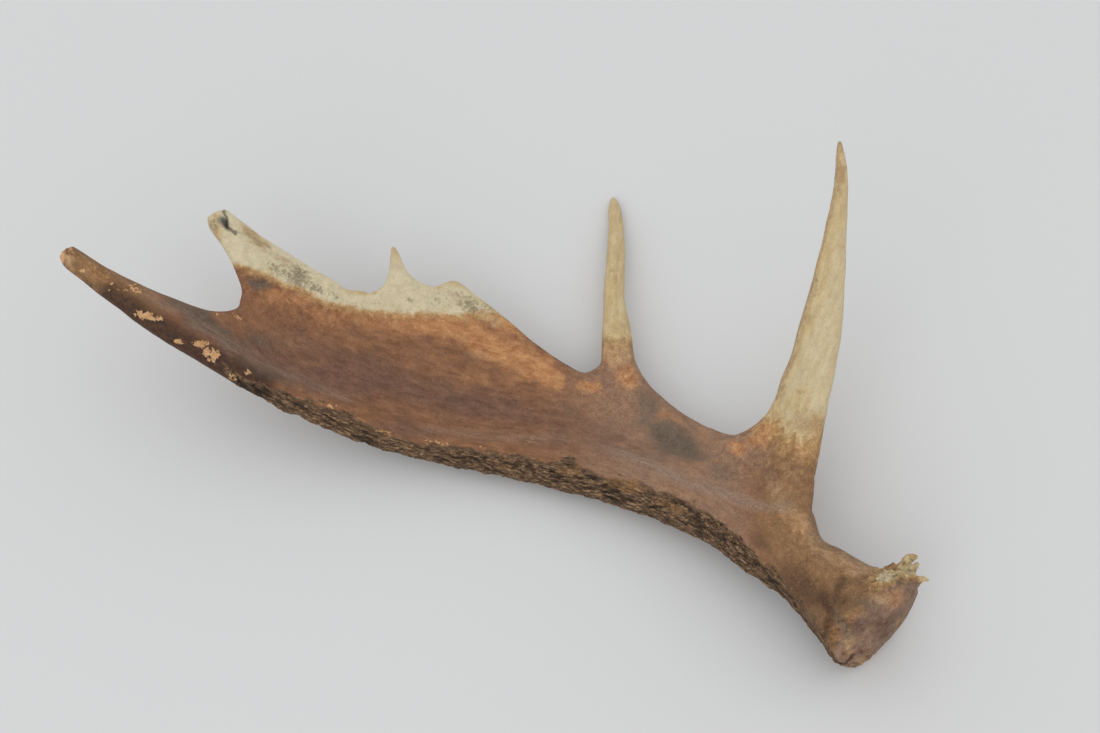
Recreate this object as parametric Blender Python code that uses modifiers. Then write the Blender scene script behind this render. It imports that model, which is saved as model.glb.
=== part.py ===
"""Shed moose antler, lying with its hollow side up.

One growth of bone, parted at its main forks into beam, palm, brow tine, second tine and end tine.
Each limb is a loft through flat sections. A section is a chord from the limb's near edge to its far
edge with a thickness at both ends, so the chord ends draw the limb's outline.
World axes: X to the right, Y away from the viewer, Z up, with the floor at Z = 0.
"""

import math
import random
from collections import namedtuple

import bmesh
import bpy
from mathutils import Matrix, Vector

MM = 0.001

# The antler was measured looking down on it, in millimetres across and up from the middle of the view.
VIEW_ELEVATION = math.radians(60)
VIEW_DISTANCE = 1600.0

# Moves the finished antler so that the middle of its footprint is the origin.
TO_ORIGIN = Vector((36.27, 42.98, 0.0)) * MM

# Width of the saw cut that parts two neighbouring pieces.
CUT_GAP = 0.3 * MM

# The skin that fuses the limbs: its grain, how often it is smoothed, and the share of faces it keeps.
SKIN_VOXEL = 2.2 * MM
SKIN_SMOOTHING = 4
SKIN_KEEP = 0.125

# Where the rib thins to the blade, in multiples of half the rib's thickness. On top each section
# says where the fall begins.
RIB_END_TOP = 3.2
RIB_FALL_UNDER = (1.0, 4.6)

RING_POINTS = 36
RING_SPACING = 7.0 * MM

# near and far are (across, up, height) in mm. thick is the thickness in mm at the near and far edge.
# sag is how far the middle of the chord hangs below it. shoulder is where the rib's top begins to fall
# to the blade, in multiples of half its thickness.
Section = namedtuple("Section", "near far thick sag shoulder", defaults=[0.0, 1.0])

# From the broken end tine along the palm and the beam to the burr. near is the thick rear edge.
STEM = [
    Section((-304.5, 66, 101), (-297.5, 75.5, 103), (10, 10)),
    Section((-288, 52, 95), (-281, 65, 97), (13, 12)),
    Section((-268, 36.5, 88), (-259, 53, 91), (16, 14)),
    Section((-247, 20.5, 79), (-236, 43, 83), (18, 15)),
    Section((-225, 7.5, 70), (-215, 36, 76), (19, 14), 1),
    Section((-208, -2.5, 62), (-197.5, 37, 70), (19, 12), 2),
    Section((-183, -17, 51), (-176, 46, 62), (19, 10), 5),
    Section((-161, -28.5, 42), (-152, 51, 57), (19, 10), 8),
    Section((-136, -39.5, 33), (-125, 48, 51), (20, 9), 10),
    Section((-112, -48.5, 25), (-107, 46, 45), (20, 9), 10),
    Section((-93, -53.5, 20), (-90, 47, 41), (21, 9), 9),
    Section((-74, -58.5, 16), (-73, 49, 38), (21, 9), 8),
    Section((-59, -62, 14), (-59, 53.5, 35), (22, 9), 7),
    Section((-46, -64.5, 12.5), (-47, 45, 31), (22, 9), 7),
    Section((-28, -68.5, 11.5), (-28, 30.5, 27), (23, 10), 6),
    Section((-9, -72.5, 11.5), (-8, 13.5, 24), (23, 11), 6),
    Section((9, -77, 12.6), (10, 1.5, 22), (24, 12), 6, 1.2),
    Section((25, -81, 14), (26, -4, 21), (25, 12), 6, 1.6),
    Section((40, -85, 15.5), (42, -7, 20.5), (27, 13), 6, 1.9),
    Section((56, -90, 17.3), (59, -10, 20.5), (28, 13), 6, 1.9),
    Section((71, -96, 18.8), (78, -26, 22), (31, 13), 6, 1.9),
    Section((93, -106, 21), (98, -37.5, 25), (36, 13), 6, 1.9),
    Section((106.5, -115, 22.5), (121, -43.5, 31), (40, 12), 5, 1.8),
    Section((120, -125.5, 22.5), (145, -63, 38), (43, 13), 3, 1.6),
    Section((132, -134, 21.5), (161, -87, 41), (44, 20), 1, 1.5),
    Section((144, -143, 20.5), (168, -106, 40), (44, 38)),
    Section((153, -152, 20), (181, -113.5, 38), (45, 44)),
    Section((162, -163, 19.5), (193, -121, 39.5), (49, 49)),
    Section((170, -174, 20), (204.5, -126, 42), (56, 56)),
    Section((175, -180, 19), (215, -127.5, 44), (62, 62)),
    Section((178, -184.5, 20.2), (225, -134, 45.7), (67, 67)),
]

BROW_TINE = [
    Section((102, -64, 20), (160, -104, 39), (6, 34), 2),
    Section((117, -53, 28), (161, -89, 44), (11, 29), 1),
    Section((125, -37, 35), (163, -72, 50), (13, 25), 1),
    Section((133.5, -30, 39.5), (165.5, -57, 54), (15, 22)),
    Section((140, -21, 43), (168.5, -39, 59), (16, 20)),
    Section((144.5, -7.5, 49), (171.5, -23, 63), (18, 18)),
    Section((150, 6.5, 56), (177, 1, 69), (18, 18)),
    Section((155.5, 27, 67), (181, 24, 77), (17, 17)),
    Section((160.5, 46, 77), (182.5, 46, 84), (16, 16)),
    Section((166, 66, 87), (183.5, 67, 92), (14, 14)),
    Section((171, 88, 96), (184.5, 90, 99), (12, 12)),
    Section((175.5, 110, 104), (185, 112, 105), (9, 9)),
    Section((177, 129, 110.5), (183.5, 129, 110.5), (6.5, 6.5)),
    Section((178.5, 139.5, 114), (180.5, 139.5, 114), (3.5, 3.5)),
]

SECOND_TINE = [
    Section((16, -33, 12.5), (74, -46, 15), (6, 6)),
    Section((24, -4, 20), (62, -13, 20), (12, 12)),
    Section((31, 7, 19), (52, 7, 19), (14, 14)),
    Section((32.3, 23, 16), (50, 24, 16), (13.5, 13.5)),
    Section((32.3, 41, 13.5), (47, 42, 13.5), (12.5, 12.5)),
    Section((33.7, 63, 10.5), (47, 63, 10.5), (11.5, 11.5)),
    Section((36, 82, 5.8), (46, 82, 5.8), (9.5, 9.5)),
    Section((36.5, 95, 2.9), (44, 96, 2.9), (7.5, 7.5)),
    Section((37.5, 103.5, 1.3), (40.5, 104, 1.3), (4.5, 4.5)),
]

# The palm's broken upper corner.
CORNER_TINE = [
    Section((-179, 13, 50.5), (-112, 35, 40.5), (4, 4)),
    Section((-193, 39, 67), (-133, 51.5, 53), (10, 9)),
    Section((-194, 54, 69), (-155, 65, 59), (11, 10)),
    Section((-198, 66, 71), (-175, 78, 64), (12, 11)),
    Section((-204.5, 77, 73), (-188, 87, 68), (13, 12)),
    Section((-211, 86, 74), (-197, 93.5, 70), (13, 12)),
    Section((-213, 93.5, 75), (-202.5, 98, 72), (11, 11)),
]

# The small point on the palm's upper edge.
SNAG = [
    Section((-110, 35, 40.5), (-71, 35, 32), (4, 4)),
    Section((-107, 46, 45), (-73, 49, 38), (9, 9)),
    Section((-102, 53, 46), (-84, 54, 41), (9, 9)),
    Section((-99.5, 61, 46), (-91, 62, 43), (8.5, 8.5)),
    Section((-99, 69, 46), (-94, 70, 44.5), (7, 7)),
    Section((-98.5, 74, 46), (-96, 74, 46), (4, 4)),
]


# The shedding face bulges: each ring's share of the rim's size, and its rise in mm.
SHEDDING_FACE = ((0.93, 2.0), (0.75, 4.5), (0.4, 6.0))

# The limbs, and the length of their edges' rounding, near and far, in multiples of half the thickness.
LIMBS = {
    "stem": (STEM, (1.3, 3.0)),
    "brow": (BROW_TINE, (1.6, 1.6)),
    "second": (SECOND_TINE, (1.6, 1.6)),
    "corner": (CORNER_TINE, (2.2, 2.2)),
    "snag": (SNAG, (2.0, 2.0)),
}

# The coronet's low lumps: the least and most radius, and how far back from the rim they may sit, in mm.
PEARL_RADII = (2.6, 4.2)
PEARL_SETBACK = (1.0, 5.0)

# The coronet's spikes: base and tip as (across, up, height), and the radius at the base, in mm.
SPIKES = [
    ((214, -130, 41), (221, -117.5, 46), 4.6),
    ((220, -119, 45), (226, -117, 47), 3.2),
    ((219, -133, 42), (229, -123.5, 46), 4.4),
    ((221, -137, 40), (233, -133, 44), 4.6),
    ((208, -127, 40), (213, -123, 44), 4.2),
]

# The pit in the broken corner tine: its two ends as (across, up, height), and its half width in mm.
PIT_ENDS = ((-206, 93.5, 80), (-198, 84.5, 78))
PIT_HALF_WIDTH = 4.6

# Where each limb is parted: a point on the cut as (across, up, height) in mm, the way to the limb's
# tip as (across, up, height) steps, and the cutting block's length and width in mm.
Fork = namedtuple("Fork", "point towards length width")
FORKS = {
    "brow_tine": Fork((150, -42, 48), (0.24, 1.0, 0.45), 260, 110),
    "second_tine": Fork((42, 4, 18), (0.0, 1.0, -0.1), 160, 60),
    "end_tine": Fork((-211, 17, 66), (-1.0, 0.35, 0.38), 170, 62),
    "beam": Fork((117, -78, 26), (1.0, -0.28, 0.1), 240, 260),
}
# The cutting blocks' height, more than any limb's.
BLOCK_HEIGHT = 300.0 * MM

# Linear colour and roughness of each piece.
FINISHES = {
    "beam": ((0.14, 0.075, 0.035), 0.6),
    "palm": ((0.17, 0.075, 0.04), 0.55),
    "brow_tine": ((0.42, 0.31, 0.16), 0.5),
    "second_tine": ((0.36, 0.25, 0.13), 0.5),
    "end_tine": ((0.12, 0.07, 0.04), 0.6),
}


def seen(across, up, height):
    """The point at this height on the line of sight through (across, up) in the view, in metres."""
    rise, level = math.sin(VIEW_ELEVATION), math.cos(VIEW_ELEVATION)
    reach = (VIEW_DISTANCE * rise - height) / (VIEW_DISTANCE * rise - up * level)
    y = reach * up * rise - VIEW_DISTANCE * level * (1 - reach)
    return Vector((reach * across, y, height)) * MM


def smoothstep(x):
    x = min(1.0, max(0.0, x))
    return x * x * (3 - 2 * x)


def section_values(section):
    """A section as a row of numbers in metres, so that sections can be blended."""
    near, far = seen(*section.near), seen(*section.far)
    sizes = (section.thick[0] * MM, section.thick[1] * MM, section.sag * MM)
    return [*near, *far, *sizes, section.shoulder]


def blend_sections(sections, spacing):
    """Closely spaced sections on a smooth curve through the given ones."""
    rows = [section_values(s) for s in sections]
    middles = [(Vector(r[0:3]) + Vector(r[3:6])) / 2 for r in rows]
    blended = [rows[0]]
    for i in range(len(rows) - 1):
        before, start = rows[max(i - 1, 0)], rows[i]
        end, after = rows[i + 1], rows[min(i + 2, len(rows) - 1)]
        steps = max(1, round((middles[i + 1] - middles[i]).length / spacing))
        for step in range(1, steps + 1):
            t = step / steps
            weights = (
                (-t + 2 * t**2 - t**3) / 2,
                (2 - 5 * t**2 + 3 * t**3) / 2,
                (t + 4 * t**2 - 3 * t**3) / 2,
                (-(t**2) + t**3) / 2,
            )
            blended.append([
                sum(w * v for w, v in zip(weights, values))
                for values in zip(before, start, end, after)
            ])
    return blended


def half_thickness(along, width, near, far, rib_fall, rounding):
    """Half the thickness at a distance along the chord: a rounded rib that thins to a rounded blade."""
    rib, blade = max(near, far), min(near, far)
    from_rib = along if near >= far else width - along
    begin, end = rib_fall
    fallen = (from_rib / rib - begin) / (end - begin)
    half = blade + (rib - blade) * (1 - smoothstep(fallen))
    for distance, radius, share in ((along, near, rounding[0]), (width - along, far, rounding[1])):
        reach = min(width / 2, share * radius)
        if distance < reach:
            half *= math.sqrt(max(0.0, 1 - (1 - distance / reach) ** 2))
    return half


def section_ring(row, direction, rounding):
    """The points around one section."""
    start, end = Vector(row[0:3]), Vector(row[3:6])
    near, far, sag, shoulder = row[6] / 2, row[7] / 2, row[8], row[9]
    chord = end - start
    width = chord.length
    up = direction.cross(chord).normalized()
    if up.z < 0:
        up = -up
    points = []
    for i in range(RING_POINTS):
        angle = 2 * math.pi * i / RING_POINTS
        share = (1 - math.cos(angle)) / 2
        side = 1 if angle < math.pi else -1
        rib_fall = (shoulder, RIB_END_TOP) if side > 0 else RIB_FALL_UNDER
        half = half_thickness(share * width, width, near, far, rib_fall, rounding)
        hang = sag * 4 * share * (1 - share)
        points.append(start + chord * share + up * (side * half - hang))
    return points


def limb_rings(sections, rounding):
    """The rings along a limb, and the middle and the direction of its last one."""
    rows = blend_sections(sections, RING_SPACING)
    middles = [(Vector(r[0:3]) + Vector(r[3:6])) / 2 for r in rows]
    rings = []
    for i, row in enumerate(rows):
        direction = (middles[min(i + 1, len(rows) - 1)] - middles[max(i - 1, 0)]).normalized()
        rings.append(section_ring(row, direction, rounding))
    return rings, middles[-1], direction


def shedding_face(rim, centre, direction):
    """The rings that close the burr with a low bulge."""
    return [
        [centre + (p - centre) * share + direction * rise * MM for p in rim]
        for share, rise in SHEDDING_FACE
    ]


def loft(name, rings):
    """A closed limb through its rings."""
    bm = bmesh.new()
    loops = [[bm.verts.new(p) for p in ring] for ring in rings]
    for lower, upper in zip(loops, loops[1:]):
        for i in range(RING_POINTS):
            j = (i + 1) % RING_POINTS
            bm.faces.new((lower[i], lower[j], upper[j], upper[i]))
    bm.faces.new(loops[0])
    bm.faces.new(loops[-1])
    bmesh.ops.recalc_face_normals(bm, faces=bm.faces)
    return finish_mesh(bm, name)


def finish_mesh(bm, name):
    """Turns a bmesh into an object among the helpers."""
    mesh = bpy.data.meshes.new(name)
    bm.to_mesh(mesh)
    bm.free()
    obj = bpy.data.objects.new(name, mesh)
    bpy.data.collections["helpers"].objects.link(obj)
    return obj


def burr_pearls(rim, centre, direction):
    """The coronet: low lumps of bone around the rim of the shedding face."""
    random.seed(7)
    sunk = 0.7
    bm = bmesh.new()
    for point in rim:
        outward = (point - centre).normalized()
        radius = random.uniform(*PEARL_RADII) * MM
        setback = random.uniform(*PEARL_SETBACK) * MM
        place = Matrix.Translation(point - outward * radius * sunk - direction * setback)
        bmesh.ops.create_icosphere(bm, subdivisions=2, radius=radius, matrix=place)
    return finish_mesh(bm, "burr_pearls")


def burr_spikes():
    """The short blunt cones that stand on the coronet's outer side."""
    tip_share = 0.4
    bm = bmesh.new()
    for base, tip, radius in SPIKES:
        foot, point = seen(*base), seen(*tip)
        axis = point - foot
        turn = axis.to_track_quat("Z", "Y").to_matrix().to_4x4()
        shape = Matrix.Translation((foot + point) / 2) @ turn
        bmesh.ops.create_cone(
            bm, cap_ends=True, segments=12, radius1=radius * MM, radius2=radius * tip_share * MM,
            depth=axis.length + radius * MM, matrix=shape,
        )
    return finish_mesh(bm, "burr_spikes")


def corner_pit():
    """A long hollow to cut from the corner tine's top."""
    tip, root = (seen(*end) for end in PIT_ENDS)
    turn = (root - tip).to_track_quat("Z", "Y").to_matrix().to_4x4()
    half = PIT_HALF_WIDTH * MM
    size = Matrix.Diagonal((half, half, (root - tip).length / 2, 1))
    bm = bmesh.new()
    place = Matrix.Translation((tip + root) / 2)
    bmesh.ops.create_icosphere(bm, subdivisions=2, radius=1.0, matrix=place @ turn @ size)
    return as_cutter(finish_mesh(bm, "corner_pit"))


def as_cutter(obj):
    obj.display_type = "WIRE"
    obj.hide_render = True
    return obj


def apply_modifiers(obj):
    """Gives the object the mesh that its modifiers make."""
    graph = bpy.context.evaluated_depsgraph_get()
    mesh = bpy.data.meshes.new_from_object(obj.evaluated_get(graph))
    obj.modifiers.clear()
    obj.data = mesh


def fuse(limbs):
    """Grows all the limbs together in one skin."""
    bm = bmesh.new()
    for limb in limbs:
        bm.from_mesh(limb.data)
        bpy.data.objects.remove(limb)
    whole = finish_mesh(bm, "whole")
    skin = whole.modifiers.new("skin", "REMESH")
    skin.mode = "VOXEL"
    skin.voxel_size = SKIN_VOXEL
    smooth = whole.modifiers.new("smooth", "SMOOTH")
    smooth.factor = 0.5
    smooth.iterations = SKIN_SMOOTHING
    thin = whole.modifiers.new("thin", "DECIMATE")
    thin.ratio = SKIN_KEEP
    apply_modifiers(whole)
    return whole


def wear_flat(whole):
    """Cuts off what would be below the floor, under 1 mm, which leaves flats where the antler rests."""
    bm = bmesh.new()
    bm.from_mesh(whole.data)
    cut = bmesh.ops.bisect_plane(
        bm, geom=bm.verts[:] + bm.edges[:] + bm.faces[:], dist=1e-6,
        plane_co=(0, 0, 0), plane_no=(0, 0, -1), clear_outer=True,
    )
    rim = [e for e in cut["geom_cut"] if isinstance(e, bmesh.types.BMEdge)]
    bmesh.ops.holes_fill(bm, edges=rim, sides=0)
    bm.to_mesh(whole.data)
    bm.free()


def cutting_block(name, fork, gap):
    """A block that starts a gap before the fork and holds everything beyond it."""
    start = seen(*fork.point)
    step = seen(*(p + t for p, t in zip(fork.point, fork.towards))) - start
    axis = step.normalized()
    length, width = fork.length * MM, fork.width * MM
    bm = bmesh.new()
    turn = axis.to_track_quat("Z", "Y").to_matrix().to_4x4()
    place = Matrix.Translation(start + axis * (length / 2 - gap))
    size = Matrix.Diagonal((width, BLOCK_HEIGHT, length, 1))
    bmesh.ops.create_cube(bm, size=1.0, matrix=place @ turn @ size)
    return as_cutter(finish_mesh(bm, name))


def boolean(obj, cutter, operation):
    cut = obj.modifiers.new(operation.lower(), "BOOLEAN")
    cut.operation = operation
    cut.solver = "EXACT"
    cut.object = cutter
    apply_modifiers(obj)


def part_at_forks(whole, antler):
    """Saws the whole antler at its forks and puts the pieces in the antler's collection."""
    for name, fork in FORKS.items():
        piece = bpy.data.objects.new(name, whole.data.copy())
        antler.objects.link(piece)
        boolean(piece, cutting_block(name + "_block", fork, 0), "INTERSECT")
        boolean(whole, cutting_block(name + "_saw", fork, CUT_GAP), "DIFFERENCE")
    antler.objects.link(bpy.data.objects.new("palm", whole.data))
    bpy.data.objects.remove(whole)


def bone_material(name, colour, roughness):
    """The plain bone of one piece."""
    material = bpy.data.materials.new(name)
    material.use_nodes = True
    shader = material.node_tree.nodes["Principled BSDF"]
    shader.inputs["Base Color"].default_value = (*colour, 1)
    shader.inputs["Roughness"].default_value = roughness
    shader.inputs["Metallic"].default_value = 0
    return material


def main():
    for obj in list(bpy.data.objects):
        bpy.data.objects.remove(obj)
    helpers = bpy.data.collections.new("helpers")
    antler = bpy.data.collections.new("moose_antler")
    bpy.context.scene.collection.children.link(helpers)
    bpy.context.scene.collection.children.link(antler)

    limbs = [burr_spikes()]
    for name, (sections, rounding) in LIMBS.items():
        rings, centre, direction = limb_rings(sections, rounding)
        if name == "stem":
            limbs.append(burr_pearls(rings[-1], centre, direction))
            rings += shedding_face(rings[-1], centre, direction)
        limbs.append(loft(name, rings))
    whole = fuse(limbs)
    wear_flat(whole)
    boolean(whole, corner_pit(), "DIFFERENCE")
    part_at_forks(whole, antler)
    for piece in antler.objects:
        piece.data.transform(Matrix.Translation(TO_ORIGIN))
        piece.data.materials.clear()
        piece.data.materials.append(bone_material(piece.name, *FINISHES[piece.name]))
        piece.data.shade_smooth()


main()
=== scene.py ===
"""Looks of a shed moose antler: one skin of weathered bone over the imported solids, on a pale floor.

The limbs are lofted through flat sections, fused in one skin, and the skin is carved: bark-like crust on
the rear rib, furrows along the beam, the coronet and the shedding face. Marks on the skin then say where
the bone is bleached, stained, scraped or grown over, and the material reads them.
"""

import itertools
import math
import random
from collections import namedtuple

import bmesh
import bpy
import numpy as np
from mathutils import Matrix, Vector
from mathutils.kdtree import KDTree


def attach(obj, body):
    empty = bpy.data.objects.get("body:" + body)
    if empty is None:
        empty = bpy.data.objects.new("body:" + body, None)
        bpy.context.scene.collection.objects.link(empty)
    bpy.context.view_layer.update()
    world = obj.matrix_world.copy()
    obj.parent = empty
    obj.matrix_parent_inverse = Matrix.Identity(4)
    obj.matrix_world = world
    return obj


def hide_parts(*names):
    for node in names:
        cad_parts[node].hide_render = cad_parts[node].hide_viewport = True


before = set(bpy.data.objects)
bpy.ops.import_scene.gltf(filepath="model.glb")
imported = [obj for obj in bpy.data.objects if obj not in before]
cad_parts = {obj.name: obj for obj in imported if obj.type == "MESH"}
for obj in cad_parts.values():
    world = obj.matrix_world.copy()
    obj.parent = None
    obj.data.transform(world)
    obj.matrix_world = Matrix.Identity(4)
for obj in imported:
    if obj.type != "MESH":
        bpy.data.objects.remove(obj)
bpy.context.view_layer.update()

bl_info = {
    "name": "Moose antler",
    "version": (1, 0, 0),
    "blender": (4, 5, 0),
    "location": "3D View > Sidebar > Antler",
    "description": "A shed moose antler with weathered bone, and a plain stage to show it on",
    "category": "Object",
}

MM = 0.001

# The antler was measured looking down on it, in millimetres across and up from the middle of the view.
VIEW_ELEVATION = math.radians(60)
VIEW_DISTANCE = 1600.0

# Moves the finished antler so that the middle of its footprint is the origin.
TO_ORIGIN = Vector((36.27, 42.98, 0.0)) * MM

# Where the rib thins to the blade, in multiples of half the rib's thickness.
RIB_END_TOP = 3.2
RIB_FALL_UNDER = (1.0, 4.6)

RING_POINTS = 64
RING_SPACING = 3.0 * MM

# Where a broad limb's inside begins and is full, in mm from its near and its far edge, and how many times it
# is evened out.
INSIDE_NEAR, INSIDE_FAR = (16, 36), (6, 20)
CALM_PASSES = 24

# How the broken ends of the end tine and the corner are torn: the depth in mm and the seed of the dice, and
# how many jags go around an end.
END_BREAK, CORNER_BREAK = (5.0, 3), (3.0, 5)
JAGS = 9

# near and far are (across, up, height) in mm. thick is the thickness in mm at the near and far edge.
# sag is how far the middle of the chord hangs below it. shoulder is where the rib's top begins to fall
# to the blade, in multiples of half its thickness.
Section = namedtuple("Section", "near far thick sag shoulder", defaults=[0.0, 1.0])

# From the broken end tine along the palm and the beam to the burr. near is the thick rear edge.
STEM = [
    ((-304.3, 69.5, 101), (-297.5, 75.5, 103), (9, 9)),
    ((-302, 62.5, 100), (-292, 72, 101), (12, 11)),
    ((-288, 51.5, 95), (-279.5, 64, 97), (13, 12)),
    ((-268, 36.5, 88), (-259, 53, 91), (16, 14)),
    ((-247, 20.5, 79), (-236, 43, 83), (18, 15)),
    ((-225, 7.5, 70), (-215, 36, 76), (19, 14), 1),
    ((-208, -2.5, 62), (-197.5, 37, 70), (19, 12), 2),
    ((-183, -17, 51), (-176, 46, 62), (19, 10), 5),
    ((-161, -28.5, 42), (-152, 51, 57), (19, 10), 8),
    ((-136, -39.5, 33), (-125, 48, 51), (20, 9), 10),
    ((-112, -48.5, 25), (-107, 46, 45), (20, 9), 10),
    ((-93, -53.5, 20), (-90, 47, 41), (21, 9), 9),
    ((-74, -58.5, 16), (-73, 49, 38), (21, 9), 8),
    ((-59, -62, 14), (-59, 53.5, 35), (22, 9), 7),
    ((-46, -64.5, 12.5), (-47, 45, 31), (22, 9), 7),
    ((-28, -68.5, 11.5), (-28, 30.5, 27), (23, 10), 6),
    ((-9, -72.5, 11.5), (-8, 13.5, 24), (23, 11), 6),
    ((9, -77, 12.6), (10, 1.5, 22), (24, 12), 6, 1.2),
    ((25, -81, 14), (26, -4, 21), (25, 12), 6, 1.6),
    ((40, -85, 15.5), (42, -7, 20.5), (27, 13), 6, 1.9),
    ((56, -90, 17.3), (59, -10, 20.5), (28, 13), 6, 1.9),
    ((71, -96, 18.8), (78, -26, 22), (31, 13), 6, 1.9),
    ((93, -106, 21), (98, -37.5, 25), (36, 13), 6, 1.9),
    ((106.5, -115, 22.5), (121, -43.5, 31), (40, 12), 5, 1.8),
    ((120, -125.5, 22.5), (145, -63, 38), (43, 13), 3, 1.6),
    ((132, -134, 21.5), (161, -87, 41), (44, 20), 1, 1.5),
    ((144, -143, 20.5), (168, -106, 40), (44, 38)),
    ((153, -152, 20), (181, -113.5, 38), (45, 44)),
    ((162, -163, 19.5), (193, -121, 39.5), (49, 49)),
    ((170, -174, 20), (204.5, -126, 42), (56, 56)),
    ((175, -180, 19), (215, -127.5, 44), (62, 62)),
    ((178, -184.5, 19.6), (225, -134, 45.1), (65.7, 65.7)),
]

BROW_TINE = [
    ((98, -62, 20), (160, -104, 39), (5, 34), 2),
    ((108, -46, 27.5), (161, -89, 44), (9, 29), 1),
    ((121, -39, 33), (163, -72, 50), (12, 25), 1),
    ((132, -33, 38), (165.5, -57, 54), (14, 22)),
    ((140, -21, 43), (168.5, -39, 59), (16, 20)),
    ((144.5, -7.5, 49), (171.5, -23, 63), (18, 18)),
    ((150, 6.5, 56), (177, 1, 69), (18, 18)),
    ((155.5, 27, 67), (181, 24, 77), (17, 17)),
    ((160.5, 46, 77), (182.5, 46, 84), (16, 16)),
    ((166, 66, 87), (183.5, 67, 92), (14, 14)),
    ((171, 88, 96), (184.5, 90, 99), (12, 12)),
    ((175.5, 110, 104), (185, 112, 105), (9, 9)),
    ((177, 129, 110.5), (183.5, 129, 110.5), (6.5, 6.5)),
    ((178.5, 139.5, 114), (180.5, 139.5, 114), (3.5, 3.5)),
]

SECOND_TINE = [
    ((16, -33, 12.5), (74, -46, 15), (6, 6)),
    ((22, -5, 20), (66, -18, 20), (11, 11)),
    ((29.6, -0.5, 19.5), (57.5, -6, 19.5), (13, 13)),
    ((31.8, 6, 19), (52.5, 5, 19), (14, 14)),
    ((32.3, 23, 16), (50, 24, 16), (13.5, 13.5)),
    ((33, 41, 13.5), (46.4, 42, 13.5), (12.5, 12.5)),
    ((34.3, 63, 10.5), (46.5, 63, 10.5), (11.5, 11.5)),
    ((36, 82, 5.8), (46, 82, 5.8), (9.5, 9.5)),
    ((36.5, 95, 2.9), (44, 96, 2.9), (7.5, 7.5)),
    ((37.5, 103.5, 1.3), (40.5, 104, 1.3), (4.5, 4.5)),
]

# The palm's broken upper corner.
CORNER_TINE = [
    ((-179, 13, 50.5), (-112, 35, 40.5), (4, 4)),
    ((-194.5, 38.5, 65.5), (-131, 51.5, 52.5), (9, 9)),
    ((-192, 45.6, 67.5), (-143, 58, 56), (10, 9)),
    ((-193.7, 55, 69), (-155, 65, 59), (11, 10)),
    ((-198, 66, 71), (-175, 78, 64), (12, 11)),
    ((-204.5, 77, 73), (-188, 87, 68), (13, 12)),
    ((-211, 86, 74), (-197, 93.5, 70), (13, 12)),
    ((-213, 93.5, 75), (-202.5, 98, 72), (11, 11)),
]

# The small point on the palm's upper edge.
SNAG = [
    ((-110, 35, 40.5), (-71, 35, 32), (4, 4)),
    ((-112, 45.5, 46), (-70, 49.5, 37), (9, 9)),
    ((-103.5, 50, 46), (-82, 53, 41), (9, 9)),
    ((-101, 55.5, 46), (-87.5, 57, 42), (9, 9)),
    ((-99.5, 61, 46), (-91, 62, 43), (8.5, 8.5)),
    ((-99, 69, 46), (-94, 70, 44.5), (7, 7)),
    ((-98.5, 74, 46), (-96, 74, 46), (4, 4)),
]

# The shedding face bulges: each ring's share of the rim's size, and its rise in mm.
SHEDDING_FACE = ((0.93, 2.0), (0.75, 4.0), (0.4, 5.2))

# The limbs, and the length of their edges' rounding, near and far, in multiples of half the thickness.
LIMBS = {
    "stem": (STEM, (1.3, 3.0)),
    "brow": (BROW_TINE, (1.6, 1.6)),
    "second": (SECOND_TINE, (1.6, 1.6)),
    "corner": (CORNER_TINE, (2.2, 2.2)),
    "snag": (SNAG, (2.0, 2.0)),
}

# The limbs' numbers on the skin, by their places above.
ON_STEM, ON_BROW, ON_SECOND = range(3)

# The coronet's spikes, bottom to tip: (across, up, height, radius) in mm, and the points around each.
SPIKE_POINTS = 16
SPIKES = [
    [(215, -131, 40, 4.6), (218.5, -125, 43.5, 3.5), (222.5, -118.5, 46, 2.5), (227, -118, 47.5, 1.3)],
    [(221, -130, 42, 4.2), (224.5, -126, 45, 3.0), (227.5, -123, 46.5, 1.5)],
    [(220, -136, 40, 4.4), (227, -133, 43.5, 3.0), (231.5, -131.5, 45, 1.8), (234.5, -132.5, 45, 1.0)],
    [(209, -129, 38, 4.6), (212.5, -124.5, 42, 2.6), (213, -122.5, 44, 1.4)],
    [(205, -131, 36, 4.2), (206.5, -127, 40.5, 2.2)],
]

# The oval zone where the coronet's pearls are largest: its middle, half widths and turn.
CORONET = (216, -126, 26, 22, 0)
# The seed of the pearls' dice, their radius as a share of the largest, and how far in mm they are set back.
PEARL_SEED, PEARL_SHARE, PEARL_SETBACK = 7, (0.6, 1.0), (2.5, 8.0)

# The cavities in the broken corner tine: two ends as (across, up, height), and the half width in mm.
CORNER_PITS = [
    ((-204.5, 97, 79.5), (-197, 83, 76.5), 2.8), ((-207, 93, 80.5), (-202, 86, 79), 2.6),
]


def seen(across, up, height):
    """The point at this height on the line of sight through (across, up) in the view, in metres."""
    rise, level = math.sin(VIEW_ELEVATION), math.cos(VIEW_ELEVATION)
    reach = (VIEW_DISTANCE * rise - height) / (VIEW_DISTANCE * rise - up * level)
    y = reach * up * rise - VIEW_DISTANCE * level * (1 - reach)
    return Vector((reach * across, y, height)) * MM


def view_places(points):
    """Where points in metres are seen, as across and up in mm."""
    rise, level = math.sin(VIEW_ELEVATION), math.cos(VIEW_ELEVATION)
    x, y, z = points.T / MM
    depth = VIEW_DISTANCE + y * level - z * rise
    return np.stack((x, y * rise + z * level), 1) * (VIEW_DISTANCE / depth)[:, None]


def ease(x, low=0.0, high=1.0):
    """0 up to low, 1 from high on, and smooth between them."""
    x = np.clip((x - low) / (high - low), 0, 1)
    return x * x * (3 - 2 * x)


def section_values(section):
    """A section as a row of numbers in metres, so that sections can be blended."""
    near, far = seen(*section.near), seen(*section.far)
    sizes = (section.thick[0] * MM, section.thick[1] * MM, section.sag * MM)
    return [*near, *far, *sizes, section.shoulder]


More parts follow.
